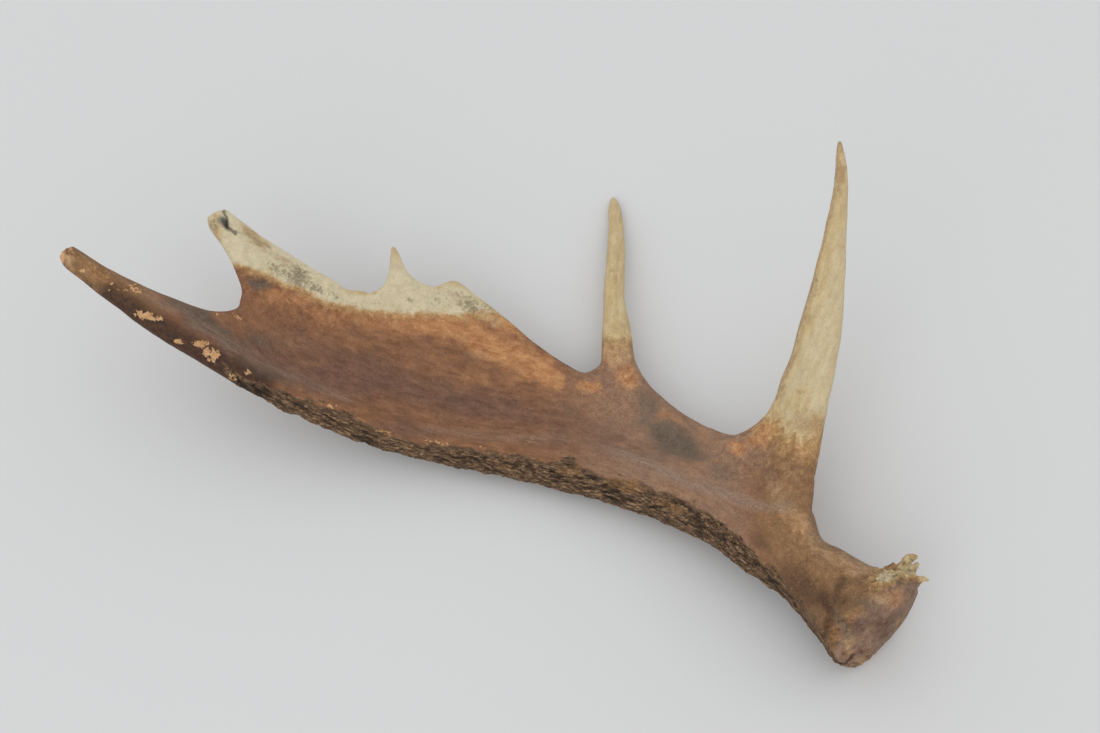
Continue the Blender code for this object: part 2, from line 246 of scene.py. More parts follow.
def middle(row):
    return (Vector(row[0:3]) + Vector(row[3:6])) / 2


def blend_sections(sections, spacing):
    """Closely spaced sections on a smooth curve through the given ones."""
    rows = [section_values(Section(*section)) for section in sections]
    blended = [rows[0]]
    for i in range(len(rows) - 1):
        before, start = rows[max(i - 1, 0)], rows[i]
        end, after = rows[i + 1], rows[min(i + 2, len(rows) - 1)]
        steps = max(1, round((middle(end) - middle(start)).length / spacing))
        for step in range(1, steps + 1):
            t = step / steps
            # A Catmull-Rom curve: what each of the four neighbours weighs.
            weights = (
                (-t + 2 * t**2 - t**3) / 2,
                (2 - 5 * t**2 + 3 * t**3) / 2,
                (t + 4 * t**2 - 3 * t**3) / 2,
                (-(t**2) + t**3) / 2,
            )
            blended.append([
                sum(w * v for w, v in zip(weights, values))
                for values in zip(before, start, end, after)
            ])
    return blended


def half_thickness(along, width, near, far, rib_fall, rounding):
    """Half the thickness at a distance along the chord: a rounded rib that thins to a rounded blade."""
    rib, blade = max(near, far), min(near, far)
    from_rib = along if near >= far else width - along
    half = blade + (rib - blade) * (1 - ease(from_rib / rib, *rib_fall))
    for distance, radius, share in ((along, near, rounding[0]), (width - along, far, rounding[1])):
        reach = min(width / 2, share * radius)
        if distance < reach:
            half *= math.sqrt(max(0.0, 1 - (1 - distance / reach) ** 2))
    return half


def section_ring(row, direction, rounding):
    """The points around one section, from its near edge over the top to the far edge and back beneath."""
    start, end = Vector(row[0:3]), Vector(row[3:6])
    near, far, sag, shoulder = row[6] / 2, row[7] / 2, row[8], row[9]
    chord = end - start
    width = chord.length
    up = direction.cross(chord).normalized()
    if up.z < 0:
        up = -up
    points = []
    for i in range(RING_POINTS):
        angle = 2 * math.pi * i / RING_POINTS
        share = (1 - math.cos(angle)) / 2
        side = 1 if angle < math.pi else -1
        rib_fall = (shoulder, RIB_END_TOP) if side > 0 else RIB_FALL_UNDER
        half = half_thickness(share * width, width, near, far, rib_fall, rounding)
        hang = sag * 4 * share * (1 - share)
        points.append(start + chord * share + up * (side * half - hang))
    return points


def limb_rings(sections, rounding):
    """The rings along a limb, and the middle and the direction at each."""
    rows = blend_sections(sections, RING_SPACING)
    middles = [middle(row) for row in rows]
    last = len(rows) - 1
    directions = [
        (middles[min(i + 1, last)] - middles[max(i - 1, 0)]).normalized() for i in range(last + 1)
    ]
    rings = [section_ring(row, way, rounding) for row, way in zip(rows, directions)]
    return rings, middles, directions


def calm_rings(rings):
    """Evens out the inside of a broad limb along its length, but not its edges."""
    grid = np.array(rings)
    half = grid.shape[1] // 2
    width = np.linalg.norm(grid[:, half] - grid[:, 0], axis=1)[:, None] / MM
    share = (1 - np.cos(2 * np.pi * np.arange(grid.shape[1]) / grid.shape[1])) / 2
    inside = ease(share * width, *INSIDE_NEAR) * ease((1 - share) * width, *INSIDE_FAR)
    for _ in range(CALM_PASSES):
        grid[1:-1] += (grid[:-2] + grid[2:] - 2 * grid[1:-1]) * 0.5 * inside[1:-1, :, None]
    return [[Vector(point) for point in ring] for ring in grid]


def loft(bm, rings):
    """Bridges rings of points into a closed limb."""
    loops = []
    for ring in rings:
        verts = bmesh.ops.create_circle(bm, cap_ends=False, segments=len(ring), radius=MM)["verts"]
        for vert, place in zip(verts, ring):
            vert.co = place
        loops.append(list({e for v in verts for e in v.link_edges}))
    for lower, upper in zip(loops, loops[1:]):
        bmesh.ops.bridge_loops(bm, edges=lower + upper)
    bmesh.ops.holes_fill(bm, edges=loops[0] + loops[-1], sides=0)


def new_object(bm, name):
    """Turns a bmesh into an object at the origin."""
    mesh = bpy.data.meshes.new(name)
    bm.to_mesh(mesh)
    bm.free()
    obj = bpy.data.objects.new(name, mesh)
    bpy.context.scene.collection.objects.link(obj)
    return obj


def apply_modifiers(obj):
    """Gives the object the mesh that its modifiers make."""
    graph = bpy.context.evaluated_depsgraph_get()
    mesh = bpy.data.meshes.new_from_object(obj.evaluated_get(graph))
    obj.modifiers.clear()
    obj.data = mesh


def add_smoothing(obj, passes, group=""):
    """Evens out the skin this many times, where the vertex group says so."""
    smooth = obj.modifiers.new("smooth", "SMOOTH")
    smooth.factor = 0.5
    smooth.iterations = passes
    smooth.vertex_group = group


def broken_end(rings, directions, depth, seed):
    """Splinters a limb's first ring, and sinks the middle of the break."""
    dice = random.Random(seed)
    ring, inward = rings[0], directions[0]
    centre = sum(ring, Vector()) / len(ring)
    jags = [dice.uniform(0, 1) ** 2 * depth for _ in range(JAGS)]
    torn = []
    for i, point in enumerate(ring):
        share = i / len(ring) * JAGS
        a, b = jags[int(share) % JAGS], jags[(int(share) + 1) % JAGS]
        torn.append(point + inward * (a + (b - a) * (share % 1)) * MM)
    hollow = [centre + (p - centre) * 0.5 + inward * depth * 0.8 * MM for p in ring]
    return [hollow, torn]


def shedding_face(rim, centre, direction):
    """The rings that close the burr with a low bulge."""
    return [
        [centre + (p - centre) * share + direction * rise * MM for p in rim]
        for share, rise in SHEDDING_FACE
    ]


def add_pearls(bm, rim, centre, direction, sizes):
    """The coronet: low lumps of bone around the rim of the shedding face."""
    dice = random.Random(PEARL_SEED)
    places = view_places(np.array(rim))
    for point, share in zip(rim, patch_share(places, *CORONET)):
        outward = (point - centre).normalized()
        full = 0.5 + 0.5 * min(1.0, share * 2)
        radius = dice.uniform(*PEARL_SHARE) * full * sizes.pearl_radius
        setback = dice.uniform(*PEARL_SETBACK) * MM
        sunk = 0.85 - 0.3 * full
        place = Matrix.Translation(point - outward * radius * sunk - direction * setback)
        bmesh.ops.create_icosphere(bm, subdivisions=2, radius=radius, matrix=place)


def add_spike(bm, spine):
    """One short crooked spike of the coronet."""
    points = [seen(*knot[:3]) for knot in spine]
    rings = []
    for i, (centre, knot) in enumerate(zip(points, spine)):
        way = (points[min(i + 1, len(points) - 1)] - points[max(i - 1, 0)]).normalized()
        turn = way.to_track_quat("Z", "Y")
        # One more and smaller ring rounds the tip.
        for lift, share in ((0, 1.0), (0.7, 0.7)) if i == len(points) - 1 else ((0, 1.0),):
            rings.append([
                centre + way * knot[3] * lift * MM
                + turn @ Vector((math.cos(a), math.sin(a), 0)) * knot[3] * share * MM
                for a in (2 * math.pi * k / SPIKE_POINTS for k in range(SPIKE_POINTS))
            ])
    loft(bm, rings)


def carve_corner_pits(limb):
    """Cuts the long cavities from the corner tine's top."""
    for tip, root, half_width in CORNER_PITS:
        tip, root, half = seen(*tip), seen(*root), half_width * MM
        turn = (root - tip).to_track_quat("Z", "Y").to_matrix().to_4x4()
        size = Matrix.Diagonal((half, half, (root - tip).length / 2, 1))
        bm = bmesh.new()
        place = Matrix.Translation((tip + root) / 2)
        bmesh.ops.create_icosphere(bm, subdivisions=3, radius=1.0, matrix=place @ turn @ size)
        cutter = new_object(bm, "corner_pit")
        cut = limb.modifiers.new("pit", "BOOLEAN")
        cut.operation = "DIFFERENCE"
        cut.solver = "EXACT"
        cut.object = cutter
        apply_modifiers(limb)
        bpy.data.objects.remove(cutter)


# ---------------------------------------------------------------- noise and lines
# Each place that uses the noise has seeds of its own, so that no two patterns are alike.

# Large numbers that scramble a lattice corner and a seed into the noise's slope there.
CORNER_PRIMES, SEED_PRIME = (73856093, 19349663, 83492791), 2971215073
SCRAMBLES = ((15, 2246822519), (13, 3266489917))
WORD = 0xFFFFFFFF
# Each octave is this much finer. It isn't quite twice, so the lattices of two octaves don't meet.
FINER = 2.03


def lattice_noise(points, seed=0):
    """Smooth noise from about -1 to 1, one unit coarse."""
    cell = np.floor(points).astype(np.int64)
    part = points - cell
    fade = part**3 * (part * (part * 6 - 15) + 10)
    total = np.zeros(len(points))
    for corner in itertools.product((0, 1), repeat=3):
        x, y, z = ((cell + corner) * CORNER_PRIMES).T
        mixed = (x ^ y ^ z ^ seed * SEED_PRIME) & WORD
        for shift, prime in SCRAMBLES:
            mixed = (mixed ^ mixed >> shift) * prime & WORD
        slope = [(mixed >> shift & 255) / 127.5 - 1 for shift in (4, 12, 20)]
        away = part - corner
        value = sum(s * a for s, a in zip(slope, away.T))
        share = np.where(corner, fade, 1 - fade).prod(1)
        total += value * share
    return total * 1.5


def layered_noise(points, octaves, seed=0, roughness=0.5):
    """Noise with finer noise on it."""
    total, weight, scale = 0.0, 1.0, 1.0
    for i in range(octaves):
        total = total + weight * lattice_noise(points * scale, seed + i)
        weight *= roughness
        scale *= FINER
    return total


def line_distance(places, line):
    """Distance to a line of points, positive on its left side, and the share of the way along it."""
    line = np.array(line, float)
    starts, steps = line[:-1], np.diff(line, axis=0)
    lengths = np.linalg.norm(steps, axis=1)
    best = np.full(len(places), np.inf)
    side, along = np.zeros(len(places)), np.zeros(len(places))
    walked = 0.0
    for start, step, length in zip(starts, steps, lengths):
        away = places - start
        share = np.clip(away @ step / length**2, 0, 1)
        gap = np.linalg.norm(away - share[:, None] * step, axis=1)
        closer = gap < best
        best = np.where(closer, gap, best)
        cross = step[0] * away[:, 1] - step[1] * away[:, 0]
        side = np.where(closer, np.sign(cross), side)
        along = np.where(closer, walked + share * length, along)
        walked += length
    return best * side, along / walked


def near_line(places, line, half):
    """1 on the line, and falling away beside it."""
    return np.exp(-((line_distance(places, line)[0] / half) ** 2))


def patch_share(places, across, up, length, breadth, turn):
    """How deep in an oval patch each place is: 1 at its middle, 0 from its edge on."""
    c, s = math.cos(math.radians(turn)), math.sin(math.radians(turn))
    away = places - (across, up)
    u = (away[:, 0] * c + away[:, 1] * s) / length
    v = (away[:, 1] * c - away[:, 0] * s) / breadth
    return 1 - np.clip(np.hypot(u, v), 0, 1)


def patchwork(places, patches, soft=0.9):
    """The most that any patch gives each place. A patch is full from this share of its depth on."""
    strength = np.zeros(len(places))
    for *patch, most in patches:
        strength = np.maximum(strength, most * ease(patch_share(places, *patch), 0, soft))
    return strength


# ---------------------------------------------------------------- growing the skin

# What the nearest loft point tells of a skin point, in mm: how far it is along its limb, around it from
# the near edge (negative beneath), from the near and the far edge, and which limb it is.
Flow = namedtuple("Flow", "along around near far limb")
# The columns of the flow guides that tell it.
ALONG, AROUND, NEAR, FAR, LIMB = range(9, 14)


def flow_guides(limbs):
    """The loft points of all limbs with the values that flow over the skin."""
    rows = []
    for number, (rings, middles, directions) in enumerate(limbs):
        walked = 0.0
        for i, ring in enumerate(rings):
            if i:
                walked += (middles[i] - middles[i - 1]).length
            half = len(ring) // 2
            near, far = ring[0], ring[half]
            chord = (far - near).normalized()
            edges = [(ring[j] - ring[j - 1]).length for j in range(len(ring))]
            over = itertools.accumulate(edges[1:half + 1], initial=0.0)
            under = itertools.accumulate([edges[0], *edges[:half + 1:-1]])
            turned = [*over, *reversed([-length for length in under])]
            for j, point in enumerate(ring):
                around = (ring[(j + 1) % len(ring)] - ring[j - 1]).normalized()
                from_near = (point - near).dot(chord)
                from_far = (far - near).length - from_near
                rows.append((
                    *point, *directions[i], *around, walked, turned[j], from_near, from_far, number,
                ))
    return np.array(rows)


def read_flow(points, guides):
    """The flow at each skin point."""
    tree = KDTree(len(guides))
    for i, row in enumerate(guides):
        tree.insert(row[0:3], i)
    tree.balance()
    nearest = guides[[tree.find(p)[1] for p in points]]
    away = points - nearest[:, 0:3]
    on = (away * nearest[:, 3:6]).sum(1)
    round_it = (away * nearest[:, 6:9]).sum(1)
    return Flow(
        (nearest[:, ALONG] + on) / MM, (nearest[:, AROUND] + round_it) / MM,
        nearest[:, NEAR] / MM, nearest[:, FAR] / MM, nearest[:, LIMB],
    )


def grow_limbs(sizes):
    """All limbs as one closed skin, and the flow guides."""
    limbs = {}
    for name, (sections, rounding) in LIMBS.items():
        rings, middles, directions = limb_rings(sections, rounding)
        limbs[name] = (calm_rings(rings) if name == "stem" else rings, middles, directions)
    whole = bmesh.new()
    for name, (rings, middles, directions) in limbs.items():
        bm = bmesh.new()
        if name == "stem":
            add_pearls(whole, rings[-1], middles[-1], directions[-1], sizes)
            face = shedding_face(rings[-1], middles[-1], directions[-1])
            loft(bm, broken_end(rings, directions, *END_BREAK) + rings[1:] + face)
        elif name == "corner":
            torn = broken_end(rings[::-1], [-way for way in directions[::-1]], *CORNER_BREAK)
            loft(bm, torn + rings[-2::-1])
        else:
            loft(bm, rings)
        bmesh.ops.recalc_face_normals(bm, faces=bm.faces)
        limb = new_object(bm, name)
        if name == "corner":
            carve_corner_pits(limb)
        whole.from_mesh(limb.data)
        bpy.data.objects.remove(limb)
    for spine in SPIKES:
        add_spike(whole, spine)
    bmesh.ops.recalc_face_normals(whole, faces=whole.faces)
    antler = new_object(whole, "antler")
    skin = antler.modifiers.new("skin", "REMESH")
    skin.mode = "VOXEL"
    skin.voxel_size = sizes.skin_grain
    add_smoothing(antler, sizes.skin_smoothing)
    apply_modifiers(antler)
    return antler, flow_guides(limbs.values())


def calm_forks(antler, sizes):
    """Smooths the forks where one limb runs out of another, but not the rims beside them."""
    places = view_places(read_vectors(antler.data.vertices, "co"))
    shares = patchwork(places, FORK_ZONES, FORK_SOFTNESS)
    for rim in RIMS:
        shares = shares * ease(np.abs(line_distance(places, rim)[0]), *RIM_FADE)
    shares = np.maximum(shares, patchwork(places, NOTCHES, NOTCH_SOFTNESS))
    group = antler.vertex_groups.new(name="forks")
    levels = np.round(shares * CALM_LEVELS).astype(int)
    for level in range(1, CALM_LEVELS + 1):
        group.add(np.nonzero(levels == level)[0].tolist(), level / CALM_LEVELS, "REPLACE")
    add_smoothing(antler, sizes.fork_smoothing, group.name)
    apply_modifiers(antler)
    antler.vertex_groups.clear()


def wear_flat(mesh):
    """Cuts off what would be below the floor, under 1 mm, which leaves flats where the antler rests."""
    bm = bmesh.new()
    bm.from_mesh(mesh)
    cut = bmesh.ops.bisect_plane(
        bm, geom=bm.verts[:] + bm.edges[:] + bm.faces[:], dist=1e-6,
        plane_co=(0, 0, 0), plane_no=(0, 0, -1), clear_outer=True,
    )
    rim = [e for e in cut["geom_cut"] if isinstance(e, bmesh.types.BMEdge)]
    bmesh.ops.holes_fill(bm, edges=rim, sides=0)
    bmesh.ops.triangulate(bm, faces=[f for f in bm.faces if len(f.verts) > 4])
    bm.to_mesh(mesh)
    bm.free()


def read_vectors(items, name):
    """One vector from each vertex or normal of a mesh, as rows."""
    values = np.empty(len(items) * 3, np.float32)
    items.foreach_get(name, values)
    return values.reshape(-1, 3).astype(float)


# ---------------------------------------------------------------- what is where on the bone
# All lines are points (across, up) in mm in the view from above. All patches are ovals in that view:
# across and up of the middle, the two half widths in mm, the turn in degrees, and most often the strength.

# Where limbs run out of each other, which is smoothed.
FORK_ZONES = [
    (134, -54, 46, 34, 0, 1.0), (43, -14, 42, 30, 0, 1.0), (-160, 44, 58, 26, -20, 1.0),
    (-91, 42, 38, 20, 0, 1.0), (160, -92, 26, 26, 0, 1.0),
]
FORK_SOFTNESS = 0.5
# The rims beside the forks, and how far in mm from them the smoothing begins and is full.
RIM_FADE = (1.5, 8)
RIMS = [
    [(46.5, 40), (46.5, 22), (49, 9), (56, -7), (68, -19.5), (87, -33), (102, -39.5), (115, -40.5),
     (124, -37.5), (133, -28), (140, -14), (146, 0)],
    [(-60, 53), (-43, 35), (-18.5, 16.5), (-1, 3), (12.5, -2.5), (25, -2.5), (31, 3), (33, 16), (33, 40)],
    [(-213, 96), (-204, 77), (-197, 62), (-194, 45), (-200, 38), (-215, 36)],
    [(-203, 98), (-188, 87), (-175, 78), (-155, 65), (-133, 52), (-118, 47), (-107, 47), (-102, 54),
     (-98, 74), (-92, 62), (-84, 54), (-73, 49), (-60, 53)],
    [(171, -20), (166, -45), (162, -75), (161, -88), (167, -104), (181, -113)],
]

# Where the outline turns from one limb into the next, which is smoothed too.
NOTCHES = [
    (24, -2.5, 14, 14, 0, 0.9), (60, -11, 12, 12, 0, 0.4), (117, -40, 18, 18, 0, 0.9),
    (-199, 37, 23, 23, 0, 1.0), (-109, 47, 8, 8, 0, 0.4), (-76, 50, 7, 7, 0, 0.4),
]
NOTCH_SOFTNESS = 0.8
# How many steps of strength the smoothing of forks and notches has.
CALM_LEVELS = 12

# Painted shade: the dark patches in the cavities of the corner tine.
PIT_SHADE_PATCHES = [(-201.5, 89, 3.6, 8, 28, 1.0), (-204.5, 91, 4.5, 7, 20, 0.55)]

# Cracks, drawn only as painted shade: a line of points, its half width in mm and how deep its painted shade
# is.
CRACKS = [
    ([(-202.5, 96.5), (-200.5, 92), (-201, 88), (-198.5, 85.5), (-195.5, 83)], 0.8, 2.2),
    ([(-195.5, 83), (-188, 82.5), (-181, 78.5), (-173, 73.5)], 0.8, 0.9),
    ([(179, -183.5), (185, -181), (192, -179.5)], 0.9, 2.0),
    ([(145.5, -8), (156, 28), (164.5, 49), (165, 58)], 0.5, 0.6),
]

# The upper border of the crust on the rear rib, from the end tine to the beam.
CRUST_BORDER = [
    (-215, 9), (-197, -3.5), (-161, -16.5), (-130, -26.5), (-110, -37), (-95, -43), (-72, -49), (-47, -51),
    (-27, -54), (3, -58), (12, -56), (27, -65), (50, -70), (67, -76), (92, -86.5), (109, -95), (119.5, -107),
    (130.5, -118), (141.5, -129), (152, -143), (163, -158), (174, -174),
]
# Where the crust begins and ends, as across at which it is gone and at which it is whole.
CRUST_ENDS = ((-207, -174), (196, 138))
# How far the crust reaches around the near edge onto the underside.
CRUST_UNDER = 24.0

# The pale crest between the dish and the rib: worn, and painted paler as a highlight along its ridge.
CREST = [
    (8, -44), (31, -49), (56, -57.5), (72, -64.5), (87, -73), (110, -79), (126.5, -86), (137, -87.5),
    (156, -86.5), (164, -93),
]

# The lower border of the bleached upper edge of the palm.
BLEACHED_PALM = [
    (-230, 64), (-194, 63.5), (-172, 55.5), (-154, 48), (-136, 39), (-109, 34), (-85, 32.5), (-66, 33),
    (-49, 30), (-35, 26), (-25, 20.5), (-16, 12),
]
BLEACHED_BROW = [
    (122, -20), (134, -28), (140, -32), (146, -37), (153, -43), (161, -44), (169, -34), (182, -29),
]
# The second tine is bleached beyond this.
BLEACHED_SECOND = 18.5

# The shedding face: lines with their half widths in mm, for the ridge across it, its left rim and the flake
# at its foot, then its dark hollow, and the line that its wrinkles lie along, with how near they are full
# and how far they are gone.
FACE_RIDGE = ([(225, -139), (219, -145.5), (208, -159.5), (199, -172)], 4.5)
FACE_RIM = ([(190, -132), (186.5, -141), (182, -152), (178.5, -163), (176, -173)], 2.4)
FACE_FLAKE = ([(178, -179), (184, -183.5), (192, -183), (196, -179)], 2.2)
FACE_HOLLOW = (193, -160, 9, 6, -20)
FACE_WRINKLES = [(176, -158), (174.5, -170), (178, -180), (187, -184), (197, -181)]
WRINKLE_FADE = (3, 11)
# Where the coronet's small beads are.
BEADS = (214, -129, 27, 13, 15)

# The patches of each stain.
STAINS = {
    "warm": [
        (-115, -26, 13, 7, -10, 0.35), (24, -12, 15, 8, -5, 0.85), (47, -5, 16, 14, -40, 0.8),
        (40, 4, 16, 15, 0, 0.7), (115, -51, 13, 9, 0, 1.0), (74, -32, 16, 7, -25, 0.75),
        (95, -43, 18, 8, -20, 0.5), (158, -53, 12, 15, 0, 0.6), (134, -38, 15, 10, 25, 0.85),
        (128, -46, 13, 8, 20, 0.9), (-278, 57, 22, 8, -35, 0.45), (-296, 65, 9, 7, -35, 0.6),
        (-264, 45, 16, 7, -35, 0.55), (-172, 40, 16, 9, 0, 0.55), (-45, -8, 20, 7, -10, 0.5),
        (-18, -14, 16, 6, -20, 0.2), (214, -143, 14, 11, 30, 0.5), (190, -151, 8, 15, -20, 0.4),
        (150, -72, 14, 10, 0, 0.3), (-118, 14, 30, 8, -12, 0.45), (-70, -4, 20, 7, -8, 0.35),
        (-162, 17, 26, 9, -25, 0.4), (36, -28, 12, 9, 0, 0.3), (178, -164, 8, 14, 20, 0.4),
        (185, -176, 11, 8, -20, 0.4), (150, -94, 24, 12, -45, 0.5), (-300, 66, 6, 5, 0, 0.4),
        (-27, 26, 26, 10, -43, 0.95), (-5, 6, 22, 9, -42, 0.9),
    ],
    "plum": [
        (-118, 2, 64, 18, -14, 0.8), (-146, -6, 38, 14, -20, 0.95), (-31, -27, 70, 18, -9, 0.8),
        (-182, 12, 32, 14, -22, 0.6), (20, -38, 34, 11, -12, 0.6), (208, -160, 16, 10, 35, 0.95),
        (191, -160, 12, 11, 0, 0.8), (-62, -16, 38, 10, -8, 0.6), (136, -64, 16, 10, 0, 0.35),
        (-154, 14, 34, 14, -22, 0.9), (-90, -38, 34, 11, -10, 0.75), (58, -52, 28, 8, -20, 0.45),
        (-10, -8, 22, 9, -25, 0.45), (-216, 27, 38, 13, -32, 0.9), (-165, 3, 36, 13, -22, 0.8),
        (0, -48, 40, 7, -9, 0.5),
    ],
    "cool": [
        (76, -45, 34, 21, -30, 0.9), (84, -50, 24, 14, -25, 0.95), (62, -24, 13, 20, 25, 0.6),
        (57, -34, 14, 12, 0, 0.65), (-47, 9, 15, 7, -10, 0.4), (-117, 3, 13, 8, 0, 0.35),
        (-60, -23, 14, 8, -10, 0.4), (10, -24, 18, 9, -20, 0.5), (-180, 52, 15, 6, -10, 0.95),
        (-177, 16, 24, 12, -18, 0.6), (-222, 33, 42, 11, -30, 0.75), (192, -147, 15, 11, 0, 0.65),
        (190, -134, 12, 8, 30, 0.45), (-202, 19, 32, 9, -30, 0.7), (160, -157, 14, 8, -45, 0.6),
        (212, -133, 12, 7, 0, 0.9), (106, -64, 20, 8, -20, 0.5), (209, -168, 14, 6, 45, 0.6),
        (-172, -6, 30, 7, -22, 0.7), (-185, -1, 16, 6, -25, 0.8), (138, -47, 20, 3, 0, 0.3),
        (204, -176, 16, 8, 45, 0.4), (170, -120, 16, 8, -40, 0.3), (-155, 12, 26, 9, -22, 0.35),
        (146, -84, 16, 10, -45, 0.45), (181, -160, 8, 17, 20, 0.7),
    ],
    # Of the burnt patches, those at 112 to 177 mm across and -97 to -165 mm up lie on the beam's lower-left
    # side: partly stain and partly painted shade of that side.
    "burnt": [
        (-246, 27, 28, 8, -38, 1.0), (-222, 12, 34, 12, -33, 1.0), (-197, -5, 24, 8, -27, 0.95),
        (-264, 42, 18, 5, -38, 0.7), (-288, 51, 12, 5, -38, 0.6), (158, -138, 44, 21, -48, 0.66),
        (177, -146, 17, 13, -45, 0.62), (152, -147, 24, 9, -48, 0.8), (140, -132, 22, 8, -50, 0.7),
        (165, -165, 18, 8, -55, 0.65), (171.5, -148, 9, 24, 22, 0.85), (201, -157, 15, 9, 25, 0.35),
        (192, -175, 13, 8, 20, 0.35), (143, -45, 9, 7, 0, 0.5), (215, -152, 12, 4, 40, 0.35),
        (131, -110, 22, 11, -47, 0.5), (112, -97, 16, 8, -35, 0.4),
    ],
    "worn": [
        (46, -73, 24, 7, -15, 1.0), (76, -86, 20, 6, -25, 0.65), (98, -98, 14, 6, -35, 0.35),
        (14, -64, 16, 5, -8, 0.7), (-30, -60, 18, 4, -8, 0.6), (-80, -50, 16, 4, -15, 0.4),
        (-130, -33, 16, 4, -25, 0.4), (128, -125, 14, 6, -50, 0.35),
    ],
    "smudge": [
        (-169, 60, 11.6, 7.2, -20, 0.8), (-156, 56, 14.5, 11.6, -30, 1.0), (-146, 49, 13, 7.2, -30, 0.8),
        (-132, 43, 17.4, 5.8, -25, 0.55), (-110, 38, 17.4, 5.8, -10, 0.35), (-68, 41, 18.8, 8.7, -20, 0.5),
        (-50, 39, 20.3, 8.7, -35, 0.8), (-86, 41, 5.8, 4.3, 0, 0.8), (-38, 36, 11.6, 5.8, -45, 0.6),
        (-182, 78, 17.4, 4.3, -35, 0.5), (-203, 70, 4.3, 11.6, 15, 0.4), (164.5, 49, 2.3, 17.4, -13, 0.7),
        (-172, 71, 22, 4, -33, 0.4), (-209, 88, 5.8, 11.6, 20, 0.7), (219, -129, 11.6, 8.7, 0, 0.45),
    ],
    "scrape": [
        (-250, 31, 15, 5, -12, 0.95), (-243, 29.5, 7, 4.5, -50, 0.85), (-257, 48, 9, 3.5, -25, 0.7),
        (-231, 16.5, 6, 4, -40, 0.85), (-216.5, 14, 8, 4.2, 10, 0.95), (-213, 9, 6, 6, 50, 0.9),
        (-208.5, 6.5, 8, 5.5, 40, 0.95), (-187, -4, 4.5, 3.6, 0, 0.8), (-196, -6.5, 7, 3.2, -30, 0.7),
        (-206, 32.5, 3, 2.5, 0, 0.6), (-12, -46, 2, 5, 0, 0.85), (-272, 50, 3, 8, -25, 0.5),
        (-103, -40, 10, 2.4, -15, 0.6), (-136, -24, 9, 2.6, -20, 0.55), (-194, 31, 6, 3.5, -30, 0.6),
        (-303, 68, 5, 7, 0, 0.85), (-165, -10, 7, 2.2, -25, 0.5), (-290, 60, 5, 3, 0, 0.55),
        (-263, 47, 7, 1.8, -15, 0.7), (-281, 62, 3, 2.2, 0, 0.6), (-297, 73, 5, 3, -30, 0.6),
        (-70, -47, 14, 2.2, -8, 0.55), (-42, -50, 10, 2, -5, 0.5),
    ],
    "sallow": [
        (-299, 67, 12, 9, -35, 0.9), (-287, 61, 13, 7, -35, 0.3), (190, -124, 16, 8, -15, 0.7),
        (196, -182, 14, 7, 15, 0.8), (184, -170, 10, 13, 10, 0.8), (206, -142, 16, 10, -20, 0.75),
        (42, 7, 17, 13, 0, 1.0), (180, -160, 5, 12, 20, 0.7), (215, -158, 9, 13, -40, 0.45),
        (-37, 31, 15, 8, -40, 0.85),
    ],
    "spots": [
        (157, -14, 17, 20, 0, 0.8), (160, -35, 20, 17, 0, 1.2), (171, 42, 6, 11, -10, 0.75),
        (168, 56, 9, 30, -12, 0.6), (172, 92, 7, 26, -8, 0.65), (178, 126, 12, 30, 0, 1.4),
        (152, 20, 5, 26, -18, 0.75), (44, 26, 10, 14, 0, 0.7), (-160, 57, 40, 11, -25, 0.6),
        (-58, 43, 28, 11, -28, 0.85), (-206, 82, 8, 20, 20, 0.9), (-184, 80, 22, 7, -35, 1.15),
        (-166, 66, 34, 6, -32, 1.1), (40, 60, 7, 30, 0, 0.75), (-100, 44, 16, 8, 0, 0.55),
        (216, -128, 16, 10, 0, 0.45),
    ],
    "tan": [
        (-210, 92, 6, 12, -15, 0.9), (-204, 82, 6, 8, 0, 0.6), (-96, 72, 8, 14, 0, 0.8),
        (180, 132, 14, 20, 0, 1.0), (40, 99, 12, 16, 0, 0.9), (171.5, 42, 3, 4, 0, 0.9),
        (170, 30, 4, 6, 0, 0.7), (150, -26, 18, 12, 0, 0.8), (-62, 52, 18, 5, 0, 0.5),
        (-182, 80, 22, 5, -35, 0.8), (218, -127, 20, 14, 0, 0.45), (-38, 30, 24, 11, -35, 0.75),
        (-178, 58, 12, 7, 0, 0.7), (42, 28, 14, 12, 0, 0.9), (-206, 86, 5, 12, 25, 0.9),
        (156, -20, 16, 26, 0, 0.8), (166, -36, 15, 20, 0, 0.8), (-66, 36, 14, 6, 0, 0.5),
    ],
}

